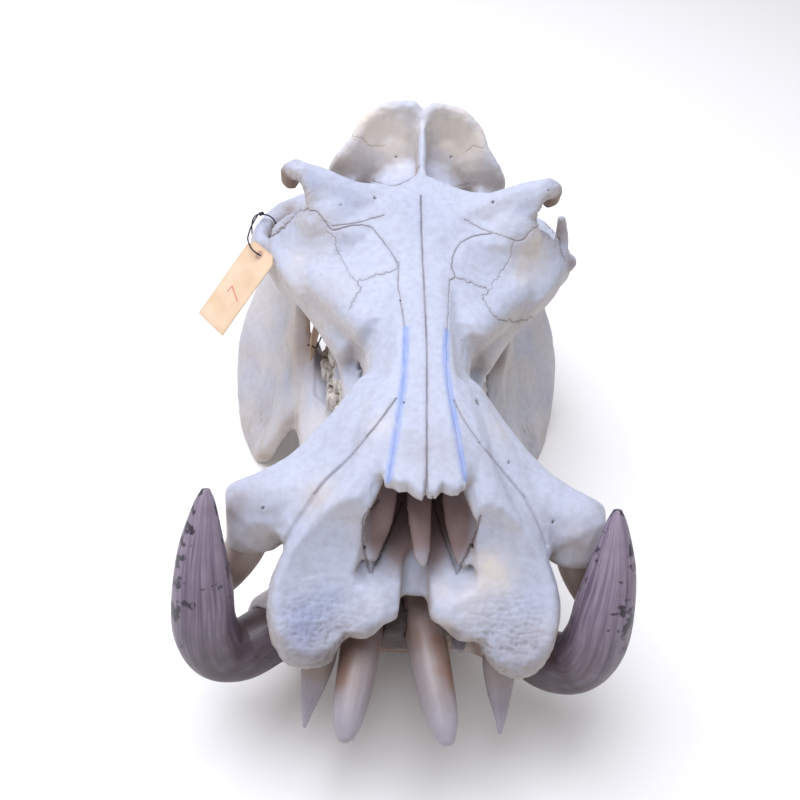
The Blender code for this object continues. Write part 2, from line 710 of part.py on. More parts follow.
OUTER_INCISOR = (
    (0.058, 0.110, 0.132, 0.0090, 0.0090),
    (0.060, 0.082, 0.136, 0.0095, 0.0095),
    (0.062, 0.060, 0.135, 0.0085, 0.0085),
    (0.062, 0.049, 0.133, 0.0060, 0.0060),
    (0.062, 0.045, 0.132, 0.0020, 0.0020),
)


def upper_canine(side, grow=0.0):
    return sweep("upper_canine", UPPER_CANINE, up=(0, 1, 0), side=side, grow=grow, sides=12, steps=2)


def upper_incisor(side, grow=0.0):
    return sweep("upper_incisor", UPPER_INCISOR, up=(0, 1, 0), side=side, grow=grow, sides=10, steps=2)


def tusk(side, grow=0.0):
    return sweep("tusk", TUSK_LINE, up=(0, -1, 0.3), side=side, grow=grow, sides=14, steps=3)


def inner_incisor(side, grow=0.0):
    lean = 0.0 if side > 0 else 1.0
    line = [(x + lean * out, *rest) for out, (x, *rest) in zip(RIGHT_LEAN, INNER_INCISOR)]
    return sweep("inner_incisor", line, side=side, grow=grow, sides=12, steps=2)


def outer_incisor(side, grow=0.0):
    lean = 0.0 if side > 0 else OUTER_LEAN
    line = [(x + lean, *rest) for x, *rest in OUTER_INCISOR]
    return sweep("outer_incisor", line, side=side, grow=grow, sides=8, steps=2)


def front_teeth(shapes, finishes, jaw):
    made = []
    for word, side in SIDES.items():
        for shape in shapes:
            tooth = shape(side)
            tooth.name = f"{shape.__name__}_{word}"
            tooth.data.name = tooth.name
            tooth.data.materials.append(finishes[shape])
            tooth.location.x = JAW_SHIFT if jaw else 0
            made.append(tooth)
    return made


# Two museum tags, each a card on a black string that is tied round the bone

TAG_LENGTH, TAG_WIDTH, TAG_CARD = 0.116, 0.057, 0.0007
TAG_CORNER, TAG_HOLE, HOLE_FROM_TOP = 0.009, 0.0028, 0.010
STRING = 0.0020
THREADED = 0.006  # how far the string runs straight on each side of the card
STRING_STEP = 0.0055
KNOT = 0.0034
TAGS = {  # middle of the top edge, middle of the lower edge, a direction near that of the width
    "tag_1": ((-0.1897, 0.4821, 0.3062), (-0.2527, 0.4233, 0.2285), (0.631, -0.772, 0.073)),
    "tag_2": ((-0.1265, 0.404, 0.2095), (-0.1100, 0.5165, 0.2310), (0.0, -0.20, 0.98)),
}
TIES = {  # middle of the loop, half widths along its own x and z, and its turn about X and Z in degrees
    "tag_1": ((-0.2005, 0.578, 0.2605), 0.0175, 0.0285, 0, -8),
    "tag_2": ((-0.1385, 0.522, 0.278), 0.0175, 0.0350, 96, 0),
}
KNOTS = {
    "tag_1": (-0.204, 0.577, 0.2905),
    "tag_2": (-0.1385, 0.486, 0.2745),
}
STRING_ROUTES = {
    "tag_1": ((-0.2080, 0.5700, 0.2925), (-0.2125, 0.5463, 0.2935),
              (-0.2133, 0.5220, 0.2985), (-0.2118, 0.5000, 0.3040), (-0.2050, 0.4800, 0.3065)),
    "tag_2": ((-0.1345, 0.4830, 0.2720), (-0.1200, 0.4710, 0.2630),
              (-0.1110, 0.4550, 0.2480), (-0.1110, 0.4370, 0.2240)),
}


def tag_axes(name):
    """Where a tag's top edge is, and its directions along its length, its width and out of its face."""
    top, bottom, across = (Vector(v) for v in TAGS[name])
    down = (bottom - top).normalized()
    across = (across - down * across.dot(down)).normalized()
    return top, down, across, down.cross(across)


def tag(name, finish):
    """A card with clipped top corners and a hole."""
    top, down, across, out = tag_axes(name)
    half = TAG_WIDTH / 2
    outline = ((-half, TAG_LENGTH), (half, TAG_LENGTH), (half, TAG_CORNER), (half - TAG_CORNER, 0),
               (TAG_CORNER - half, 0), (-half, TAG_CORNER))
    made = skin_rings(name, [[top + across * a + down * b + out * side * TAG_CARD / 2 for a, b in outline]
                             for side in (-1, 1)])
    hole = top + down * HOLE_FROM_TOP
    ring = [(math.cos(2 * math.pi * i / 12) * TAG_HOLE, math.sin(2 * math.pi * i / 12) * TAG_HOLE)
            for i in range(12)]
    cutter = skin_rings("hole", [[hole + across * a + down * b + out * side * 0.005 for a, b in ring]
                                 for side in (-1, 1)])
    combine(made, [cutter], "DIFFERENCE", "EXACT")
    made.data.materials.clear()
    made.data.materials.append(finish)
    return made


def string(name, points, finish, cyclic=False):
    curve = bpy.data.curves.new(name, "CURVE")
    curve.dimensions = "3D"
    curve.bevel_depth = STRING / 2
    curve.bevel_resolution = 2
    curve.use_fill_caps = True
    spline = curve.splines.new("POLY")
    spline.points.add(len(points) - 1)
    for i, p in enumerate(points):
        spline.points[i].co = (*p, 1)
    spline.use_cyclic_u = cyclic
    curve.materials.append(finish)
    made = bpy.data.objects.new(name, curve)
    bpy.context.scene.collection.objects.link(made)
    return made


def spaced(points, gap):
    """Points the same distance apart along a smooth curve."""
    fine = through(points, 40)
    far = np.concatenate([[0], np.cumsum(np.linalg.norm(np.diff(fine, axis=0), axis=1))])
    count = max(3, round(far[-1] / gap))
    return [tuple(np.interp(t, far, fine[:, k]) for k in range(3)) for t in np.linspace(0, far[-1], count)]


def tie(name, finish):
    """The loop of string round the bone, with its knot."""
    centre, wide, tall, pitch, yaw = TIES[name]
    spin = Matrix.Rotation(math.radians(yaw), 4, "Z") @ Matrix.Rotation(math.radians(pitch), 4, "X")
    points = [tuple(Vector(centre) + spin @ Vector((a, 0, b))) for a, b in superellipse(wide, tall, 2.6, 20)]
    loop = string(f"{name}_tie", points, finish, cyclic=True)
    graph = bpy.context.evaluated_depsgraph_get()
    mesh = bpy.data.meshes.new_from_object(loop.evaluated_get(graph))
    bpy.data.objects.remove(loop)
    made = link(f"{name}_tie", mesh)
    combine(made, [ball("knot", KNOTS[name], (KNOT, KNOT, KNOT), rows=6)], "UNION")
    made.data.materials.clear()
    made.data.materials.append(finish)
    return made


def tag_string(name, finish):
    """From the knot through the tag's hole, with a short end behind the card."""
    top, down, across, out = tag_axes(name)
    hole = top + down * HOLE_FROM_TOP
    route = [*STRING_ROUTES[name], tuple(hole + out * THREADED), tuple(hole), tuple(hole - out * THREADED)]
    return string(f"{name}_string", spaced(route, STRING_STEP), finish)


# Assembly

def round_shading(objects):
    for obj in objects:
        if obj.type == "MESH":
            obj.data.shade_smooth()


def centre_on_floor(objects, skull):
    """Moves everything so that the middle of the skull's box stands over the origin."""
    bpy.context.view_layer.update()
    corners = [obj.matrix_world @ v.co for obj in skull for v in obj.data.vertices]
    low = Vector(min(c[i] for c in corners) for i in range(3))
    high = Vector(max(c[i] for c in corners) for i in range(3))
    for obj in objects:
        obj.location.x -= (low.x + high.x) / 2
        obj.location.y -= (low.y + high.y) / 2
        obj.location.z -= low.z


def build():
    for old in list(bpy.data.objects):
        bpy.data.objects.remove(old)
    bone = material("bone", BONE, 0.7)
    ivory = material("ivory", IVORY, 0.45)
    stained = material("stained_tusk", TUSK, 0.4)
    upper, lower = (upper_canine, upper_incisor), (tusk, inner_incisor, outer_incisor)
    finishes = dict.fromkeys((*upper, *lower), ivory)
    finishes[tusk] = stained
    head = cranium(bone, upper)
    jaw = mandible(bone, lower)
    jaw.location.x = JAW_SHIFT
    teeth = front_teeth(upper, finishes, False) + front_teeth(lower, finishes, True)
    skull = [head, jaw, *teeth]
    card = material("buff_card", CARD, 0.8)
    cord = material("black_string", CORD, 0.8)
    labels = []
    for name in TAGS:
        labels += [tag(name, card), tie(name, cord), tag_string(name, cord)]
    everything = skull + labels
    round_shading(skull)
    centre_on_floor(everything, skull)


build()
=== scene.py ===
"""Looks of a hippopotamus skull that rests on its lower jaw, with a paper tag tied to each of the two.

Metres, +Z up, the snout towards -Y and the animal's left towards +X, in the frame of the CAD model.
"""
import math

import bmesh
import bpy
import numpy as np
from mathutils import Matrix, Vector
from mathutils.bvhtree import BVHTree
from mathutils.kdtree import KDTree


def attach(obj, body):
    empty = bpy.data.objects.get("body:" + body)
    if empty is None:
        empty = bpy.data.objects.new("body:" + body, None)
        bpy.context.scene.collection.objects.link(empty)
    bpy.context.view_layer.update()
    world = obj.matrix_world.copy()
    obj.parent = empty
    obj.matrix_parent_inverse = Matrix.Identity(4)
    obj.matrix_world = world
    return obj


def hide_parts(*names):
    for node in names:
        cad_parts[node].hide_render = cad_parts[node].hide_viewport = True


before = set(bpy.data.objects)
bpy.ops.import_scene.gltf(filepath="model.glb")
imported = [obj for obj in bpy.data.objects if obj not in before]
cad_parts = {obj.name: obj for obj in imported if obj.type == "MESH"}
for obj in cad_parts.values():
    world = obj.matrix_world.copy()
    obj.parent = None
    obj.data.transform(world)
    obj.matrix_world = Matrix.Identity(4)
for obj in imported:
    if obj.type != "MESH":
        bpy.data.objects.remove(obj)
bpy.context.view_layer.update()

# Camera, floor and light: a camera above and before the snout, rolled a little, as a person holds it over a
# skull on a table. The floor is a plain pale sheet, and the light is an even sky with one large soft lamp
# high over the skull's right side.

PLAN = Vector((0.00227, -0.32675, 0))  # where the drawing's origin, under the upper jaw's front, lies here
PICTURE, FOCAL = 800, 850  # the picture's side and the focal length, in the picture's own points
FLOOR_SIZE, SKY_STRENGTH = 30.0, 0.50
LAMP_PLACE, LAMP_AIM, LAMP_POWER, LAMP_SIZE = (-0.8, 0.4, 3.2), (0, 0, 0.2), 118, 2.6
camera_place = Vector((-0.0812, -0.3719, 0.9540)) + PLAN
yaw, pitch, roll = (math.radians(v) for v in (5.508, 46.543, 7.345))
ahead = Vector((math.sin(yaw) * math.cos(pitch), math.cos(yaw) * math.cos(pitch), -math.sin(pitch)))
level = Vector((math.cos(yaw), -math.sin(yaw), 0))
steep = level.cross(ahead)
sight_right = level * math.cos(roll) + steep * math.sin(roll)
sight_up = steep * math.cos(roll) - level * math.sin(roll)


def sight(u, v):
    """The direction from the camera through a point of the picture."""
    half = PICTURE / 2
    return (sight_right * (u - half) / FOCAL - sight_up * (v - half) / FOCAL + ahead).normalized()


def place(name, data, body="root"):
    made = bpy.data.objects.new(name, data)
    bpy.context.scene.collection.objects.link(made)
    if body:
        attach(made, body)
    return made


camera = place("camera", bpy.data.cameras.new("camera"), None)
camera_turn = Matrix((sight_right, sight_up, -ahead)).transposed().to_4x4()
camera.matrix_world = Matrix.Translation(camera_place) @ camera_turn
camera.data.sensor_width = 36
camera.data.lens = FOCAL * camera.data.sensor_width / PICTURE
bpy.context.scene.camera = camera


def linear(code):
    """An sRGB hex colour as linear values."""
    made = []
    for i in (0, 2, 4):
        value = int(code[i:i + 2], 16) / 255
        made.append(value / 12.92 if value <= 0.04045 else ((value + 0.055) / 1.055) ** 2.4)
    return (*made, 1.0)


def start_material(name, roughness, colour="FFFFFF"):
    made = bpy.data.materials.new(name)
    made.use_nodes = True
    shader = made.node_tree.nodes["Principled BSDF"]
    shader.inputs["Roughness"].default_value = roughness
    shader.inputs["Base Color"].default_value = linear(colour)
    return made, shader, made.node_tree


floor_mesh = bpy.data.meshes.new("floor")
half_floor = FLOOR_SIZE / 2
corners = [(x * half_floor, y * half_floor, 0) for x, y in ((-1, -1), (1, -1), (1, 1), (-1, 1))]
floor_mesh.from_pydata(corners, [], [(0, 1, 2, 3)])
floor = place("floor", floor_mesh, None)
floor_mesh.materials.append(start_material("matt_white_paper", 0.9, "FAFAFA")[0])

sky = bpy.data.worlds.new("soft_white_room")
bpy.context.scene.world = sky
sky.use_nodes = True
background = sky.node_tree.nodes["Background"].inputs
background["Color"].default_value = linear("F4F1F2")
background["Strength"].default_value = SKY_STRENGTH
bpy.context.scene.view_settings.view_transform = "Standard"
soft_lamp = bpy.data.lights.new("key", "AREA")
soft_lamp.energy, soft_lamp.size, soft_lamp.color = LAMP_POWER, LAMP_SIZE, linear("F4F6FF")[:3]
hung_lamp = place("key", soft_lamp, None)
hung_lamp.location = LAMP_PLACE
hung_lamp.rotation_euler = (Vector(LAMP_AIM) - Vector(LAMP_PLACE)).to_track_quat("-Z", "Y").to_euler()


# Strings: black twisted cotton, 2 mm thick, three strands laid together. One loop is knotted round the right
# cheek arch, and one round the hook of the lower jaw inside it. From each a string threads the hole of its
# tag, with a short end left behind the card.

STRING, STRANDS, LAY = 0.0020, 3, 0.0065  # thickness, strands, and length of one turn of the strands
CORD_PACE, CORD_SIDES = 0.0006, 15  # distance between the rings of a cord's surface, and the points in each
LOOP_SQUARENESS = 2.6  # 2 is an oval, and higher is squarer
LOOPS = {  # middle of each, half widths along its own x and z, and its turns about X and then Z in degrees
    "tag_1": ((-0.2005, 0.578, 0.2605), 0.0175, 0.0285, 0, -8),
    "tag_2": ((-0.1385, 0.522, 0.278), 0.0175, 0.0350, 96, 0),
}
KNOTS = {"tag_1": (-0.204, 0.577, 0.2905), "tag_2": (-0.1385, 0.486, 0.2745)}
KNOT_SCALE = 0.00105  # size of one unit of the knot's curve, which reaches 3 units from its middle
ROUTES = {  # each string from its knot to just above its tag's hole
    "tag_1": [(-0.2080, 0.5700, 0.2925), (-0.2125, 0.5463, 0.2935), (-0.2133, 0.5220, 0.2985),
              (-0.2118, 0.5000, 0.3040), (-0.2050, 0.4800, 0.3065)],
    "tag_2": [(-0.1345, 0.4830, 0.2720), (-0.1200, 0.4710, 0.2630),
              (-0.1110, 0.4550, 0.2480), (-0.1110, 0.4370, 0.2240)],
}
TAG_EDGES = {  # middle of the top edge, middle of the lower edge, a direction near that of the width
    "tag_1": ((-0.1897, 0.4821, 0.3062), (-0.2527, 0.4233, 0.2285), (0.631, -0.772, 0.073)),
    "tag_2": ((-0.1265, 0.404, 0.2095), (-0.1100, 0.5165, 0.2310), (0.0, -0.20, 0.98)),
}
HOLE_FROM_TOP = 0.010
THREADED = 0.006  # how far the string stands out on each side of its hole


def through(points, steps, closed=False):
    """A smooth curve (Catmull-Rom) through rows of numbers."""
    rows = np.array(points, float)
    if closed:
        padded = np.vstack([rows[-1], rows, rows[0], rows[1]])
    else:
        padded = np.vstack([2 * rows[0] - rows[1], rows, 2 * rows[-1] - rows[-2]])
    t = (np.arange(steps) / steps)[:, None]
    made = []
    for a, b, c, d in zip(padded, padded[1:], padded[2:], padded[3:]):
        made.append(0.5 * (2 * b + (c - a) * t + (2 * a - 5 * b + 4 * c - d) * t ** 2
                           + (3 * b - a - 3 * c + d) * t ** 3))
    if not closed:
        made.append(rows[-1:])
    return np.vstack(made)


def evenly(line, gap, closed=False):
    """Points the same distance apart along a line of many points, and its length."""
    if closed:
        line = np.vstack([line, line[:1]])
    far = np.concatenate([[0], np.cumsum(np.linalg.norm(np.diff(line, axis=0), axis=1))])
    count = max(4, round(far[-1] / gap))
    stops = np.linspace(0, far[-1], count, endpoint=not closed)
    return np.stack([np.interp(stops, far, line[:, k]) for k in range(line.shape[1])], axis=1), far[-1]


def unit(rows):
    return rows / np.maximum(np.linalg.norm(rows, axis=-1, keepdims=True), 1e-12)


def mesh_of(name, points, faces):
    mesh = bpy.data.meshes.new(name)
    mesh.from_pydata([tuple(p) for p in points], [], faces)
    bm = bmesh.new()
    bm.from_mesh(mesh)
    bmesh.ops.recalc_face_normals(bm, faces=bm.faces)
    bm.to_mesh(mesh)
    bm.free()
    mesh.shade_smooth()
    return mesh


def skin(rows, sides, closed):
    """Faces through rings of so many points each, with a fan over each open end."""
    faces = []
    rings = rows if closed else rows - 1
    for i in range(rings):
        low, high = i * sides, ((i + 1) % rows) * sides
        for j in range(sides):
            k = (j + 1) % sides
            faces.append((low + j, low + k, high + k, high + j))
    if not closed:
        start, end = rows * sides, rows * sides + 1
        for j in range(sides):
            k = (j + 1) % sides
            faces.append((start, k, j))
            faces.append(((rows - 1) * sides + j, (rows - 1) * sides + k, end))
    return faces


def twisted(name, line, closed=False):
    """A laid cord along evenly spaced points."""
    count = len(line)
    if closed:
        tangent = unit(np.roll(line, -1, axis=0) - np.roll(line, 1, axis=0))
    else:
        tangent = unit(np.gradient(line, axis=0))
    across = unit(np.cross(tangent[0], (0.3, 0.5, 0.81)))
    frames = []
    for t in tangent:
        across = unit(across - t * across.dot(t))
        frames.append((across, np.cross(t, across)))
    run = np.arange(count) * np.linalg.norm(line[1] - line[0])
    if closed:
        turns = max(1, round(run[-1] / LAY))
        last, first = frames[-1], frames[0]
        slip = math.atan2(first[0].dot(last[1]), first[0].dot(last[0]))
        phase = np.arange(count) / count * (2 * math.pi * turns + slip)
    else:
        phase = run / LAY * 2 * math.pi
    angle = 2 * math.pi * np.arange(CORD_SIDES) / CORD_SIDES
    points = []
    for p, (a, b), turn in zip(line, frames, phase):
        lobes = 0.80 + 0.20 * np.abs(np.cos(STRANDS / 2 * (angle - turn)))
        ring = p + STRING / 2 * lobes[:, None] * (np.cos(angle)[:, None] * a + np.sin(angle)[:, None] * b)
        points.append(ring)
    points = np.vstack(points)
    if not closed:
        points = np.vstack([points, line[:1], line[-1:]])
    return mesh_of(name, points, skin(count, CORD_SIDES, closed))


def add(tree, kind, settings=None, links=None):
    """One node with its settings, by name or by socket, and the sockets that feed it.

    The setting "ends" is the place and colour of each end of a colour ramp.
    """
    node = tree.nodes.new(kind)
    for key, value in (settings or {}).items():
        if key == "ends":
            for end, (position, colour) in zip(node.color_ramp.elements, value):
                end.position, end.color = position, linear(colour)
        elif isinstance(key, str) and hasattr(node, key):
            setattr(node, key, value)
        else:
            node.inputs[key].default_value = value
    for key, source in (links or {}).items():
        tree.links.new(source, node.inputs[key])
    return node


def of_size(mm):
    """A pattern's scale, from the size of its lumps in millimetres."""
    return round(1000 / mm)


def dress(tree, shader, colour, relief):
    """Gives a shader the colour and the relief that its nodes make."""
    tree.links.new(colour, shader.inputs["Base Color"])
    tree.links.new(relief.outputs["Normal"], shader.inputs["Normal"])


# Dyed cotton thread: dull and fuzzy, with fibres drawn as coarse as 1 mm so that they show.
cotton, shader, tree = start_material("black_cotton_twine", 0.85)
where = add(tree, "ShaderNodeTexCoord").outputs["Object"]
fuzz = add(tree, "ShaderNodeTexNoise", {"Scale": of_size(1.111), "Detail": 3.0},
           {"Vector": where}).outputs["Fac"]
dye = add(tree, "ShaderNodeValToRGB", {"ends": ((0, "0B0B10"), (1, "34343C"))}, {"Fac": fuzz})
relief = add(tree, "ShaderNodeBump", {"Strength": 0.5, "Distance": 0.0002}, {"Height": fuzz})
dress(tree, shader, dye.outputs["Color"], relief)


def tag_axes(name):
    top, bottom, across = (np.array(v) for v in TAG_EDGES[name])
    down = unit(bottom - top)
    across = unit(across - down * across.dot(down))
    return top, down, across, np.cross(down, across)


def turned(points, about_x, about_z):
    first = Matrix.Rotation(math.radians(about_x), 3, "X")
    then = Matrix.Rotation(math.radians(about_z), 3, "Z")
    return np.array(points) @ np.array(then @ first).T


def squared(wave, squareness):
    """A cosine or sine whose circle is drawn out towards a square."""
    return np.sign(wave) * np.abs(wave) ** (2 / squareness)


shift = np.array(PLAN)
strings = {}
for name, (centre, wide, tall, tip, swing) in LOOPS.items():
    top, down, across, out = tag_axes(name)
    hole = top + down * HOLE_FROM_TOP
    route = [*ROUTES[name], hole + out * THREADED, hole, hole - out * THREADED]
    line, length = evenly(through(route, 60), CORD_PACE)
    line = line + shift
    string = place(f"{name}_twine", twisted(f"{name}_twine", line))
    string.data.materials.append(cotton)
    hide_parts(f"{name}_string")
    strings[name] = (string, line, length)

    angle = 2 * math.pi * np.arange(120) / 120
    oval = np.stack([wide * squared(np.cos(angle), LOOP_SQUARENESS), 0 * angle,
                     tall * squared(np.sin(angle), LOOP_SQUARENESS)], axis=1)
    loop, _ = evenly(turned(oval, tip, swing) + np.array(centre), CORD_PACE, closed=True)
    tie = place(f"{name}_loop", twisted(f"{name}_loop", loop + shift, closed=True))
    t = 2 * math.pi * np.arange(90) / 90
    bend = np.stack([np.sin(t) + 2 * np.sin(2 * t), np.cos(t) - 2 * np.cos(2 * t), -np.sin(3 * t)], axis=1)
    knot, _ = evenly(bend * KNOT_SCALE + np.array(KNOTS[name]), CORD_PACE, closed=True)
    knot_piece = place(f"{name}_knot", twisted(f"{name}_knot", knot + shift, closed=True))
    for piece in (tie, knot_piece):
        piece.data.materials.append(cotton)
    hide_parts(f"{name}_tie")


# Tags: manila card, 116 by 57 mm, with its top corners clipped and a punched hole. Handling has bent each one
# a little and left the card darker round the hole, and one carries two plain strokes of red ink.

CARD_LONG, CARD_WIDE, CARD_THICK = 0.116, 0.057, 0.0007
CORNER, HOLE = 0.009, 0.0028  # what is cut off each top corner, and the hole's radius
CARD_GRID = 0.0006
CURL = {"tag_1": 0.0012, "tag_2": -0.0010}
FIGURE = ((-0.0083, 0.0707), (-0.0068, 0.0620), (0.0160, 0.0712))  # one stroke up and one down the card
INK = 0.00085  # half the width of the pen's stroke
WORN, RUBBED = 0.0062, 0.0012  # how far the card is soiled round its hole and along its edges


def value_noise(points, size, seed):
    """Smooth random values from -1 to 1, whose lumps are about this far apart."""
    rows = np.asarray(points, float) / size + 31.7 * seed
    base = np.floor(rows).astype(np.int64)
    part = rows - base
    ease = part * part * (3 - 2 * part)
    total = np.zeros(len(rows))
    for corner in range(8):
        step = np.array([(corner >> k) & 1 for k in range(3)])
        key = base + step
        mixed = (key[:, 0] * 73856093) ^ (key[:, 1] * 19349663) ^ (key[:, 2] * 83492791)
        mixed = ((mixed ^ (mixed >> 13)) * 1274126177) & 0xFFFFFFFF
        mixed = ((mixed ^ (mixed >> 15)) * 2246822519) & 0xFFFFFFFF
        weight = np.prod(np.where(step == 1, ease, 1 - ease), axis=1)
        total += weight * ((mixed >> 8) / 0xFFFFFF * 2 - 1)
    return total


def to_segments(points, line):
    """Distance from each point to a line of straight pieces."""
    best = np.full(len(points), 1e9)
    for a, b in zip(line[:-1], line[1:]):
        run = b - a
        share = np.clip(((points - a) @ run) / max(run @ run, 1e-12), 0, 1)
        best = np.minimum(best, np.linalg.norm(points - a - share[:, None] * run, axis=1))
    return best


def paint(mesh, name, *columns):
    """Keeps up to three values of each vertex, from 0 to 1, for the materials."""
    rows = np.ones((len(mesh.vertices), 4), np.float32)
    rows[:, :len(columns)] = np.clip(np.stack(columns, axis=1), 0, 1)
    layer = mesh.color_attributes.new(name, "FLOAT_COLOR", "POINT")
    layer.data.foreach_set("color", rows.ravel())


def card_mesh(name, figure):
    """A sheet of small squares with clipped corners and a hole, given a thickness and a slight curl."""
    top, down, across, out = tag_axes(name)
    columns, rows = round(CARD_WIDE / CARD_GRID), round(CARD_LONG / CARD_GRID)
    a, b = (grid.ravel() for grid in np.meshgrid(np.linspace(-0.5, 0.5, columns + 1) * CARD_WIDE,
                                                 np.linspace(0, 1, rows + 1) * CARD_LONG))
    index = np.arange(len(a)).reshape(rows + 1, columns + 1)
    quads = np.stack([index[:-1, :-1], index[:-1, 1:], index[1:, 1:], index[1:, :-1]], axis=-1).reshape(-1, 4)
    limit = CARD_WIDE / 2 - CORNER
    clipped = np.maximum(np.abs(a) - limit, 0) + np.maximum(CORNER - b, 0) > CORNER + 1e-9
    near = np.hypot(a, b - HOLE_FROM_TOP)
    punched = near <= HOLE - CARD_GRID * 1.5
    scale = np.where((near < HOLE) & ~punched, HOLE / np.maximum(near, 1e-9), 1)
    a, b = a * scale, HOLE_FROM_TOP + (b - HOLE_FROM_TOP) * scale
    gone = clipped | punched
    quads = quads[~gone[quads].any(axis=1)]
    used = np.unique(quads)
    renumber = np.zeros(len(a), int)
    renumber[used] = np.arange(len(used))
    quads = renumber[quads]
    a, b = a[used], b[used]
    wave = CURL[name] * (np.cos(math.pi * a / CARD_WIDE) - 0.6) * (b / CARD_LONG) ** 1.5
    flat = np.stack([a, b, 0 * a], axis=1)
    wave += 0.0003 * value_noise(flat, 0.022, 3)
    count = len(a)
    sheets = [top + across * a[:, None] + down * b[:, None] + out * (wave + side * CARD_THICK / 2)[:, None]
              for side in (1, -1)]
    edges = {}
    for q in quads:
        for i, j in ((q[0], q[1]), (q[1], q[2]), (q[2], q[3]), (q[3], q[0])):
            key = (min(i, j), max(i, j))
            edges[key] = None if key in edges else (i, j)
    faces = [tuple(q) for q in quads] + [tuple(q[::-1] + count) for q in quads]
    faces += [(e[1], e[0], e[0] + count, e[1] + count) for e in edges.values() if e]
    mesh = mesh_of(name, np.vstack(sheets) + shift, faces)
    mesh.shade_flat()
    worn = np.exp(-((np.hypot(a, b - HOLE_FROM_TOP) / WORN) ** 4))
    edge = np.minimum(CARD_WIDE / 2 - np.abs(a), np.minimum(b, CARD_LONG - b))
    rubbed = np.exp(-edge / RUBBED)
    ink = 0 * a
    if figure:
        stroke = np.array([(x, y, 0) for x, y in FIGURE])
        ink = np.clip(1.5 - to_segments(flat, stroke) / INK, 0, 1)
        ink *= 0.75 + 0.25 * value_noise(flat, 0.0008, 5)
    paint(mesh, "marks", np.tile(worn, 2), np.tile(rubbed, 2), np.concatenate([ink, 0 * ink]))
    return mesh


def painted(tree, name):
    """The painted values of a mesh, as three sockets."""
    layer = add(tree, "ShaderNodeVertexColor", {"layer_name": name})
    return add(tree, "ShaderNodeSeparateColor", None, {"Color": layer.outputs["Color"]}).outputs


def tinted(tree, before, colour, share, strength=1.0):
    """Lays a colour over another where a share, such as a painted value, is high."""
    part = add(tree, "ShaderNodeMath", {"operation": "MULTIPLY", 1: strength}, {0: share}).outputs[0]
    mix = add(tree, "ShaderNodeMix", {"data_type": "RGBA", 7: linear(colour)}, {0: part, 6: before})
    return mix.outputs[2]


# Pressed pulp: matt, with a cloudy buff and a fibre mottle of about 1.5 mm, soiled where it is handled.
manila, shader, tree = start_material("manila_card", 0.8)
where = add(tree, "ShaderNodeTexCoord").outputs["Object"]
worn, rubbed, inked = painted(tree, "marks")
fibre = add(tree, "ShaderNodeTexNoise", {"Scale": of_size(1.429), "Detail": 4.0},
            {"Vector": where}).outputs["Fac"]
cloud = add(tree, "ShaderNodeTexNoise", {"Scale": of_size(22.2), "Detail": 3.0},
            {"Vector": where}).outputs["Fac"]
pulp = add(tree, "ShaderNodeValToRGB", {"ends": ((0.3, "E3C4A4"), (0.7, "EDD6BC"))}, {"Fac": cloud})
coat = tinted(tree, pulp.outputs["Color"], "C9A680", fibre, 0.35)
coat = tinted(tree, coat, "A9746A", worn, 0.75)
coat = tinted(tree, coat, "B08F6C", rubbed, 0.45)
coat = tinted(tree, coat, "D2463F", inked)
relief = add(tree, "ShaderNodeBump", {"Strength": 0.25, "Distance": 0.0002}, {"Height": fibre})
dress(tree, shader, coat, relief)

for name, (string, line, length) in strings.items():
    card = place(f"{name}_card", card_mesh(name, name == "tag_1"))
    card.data.materials.append(manila)
    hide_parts(name)
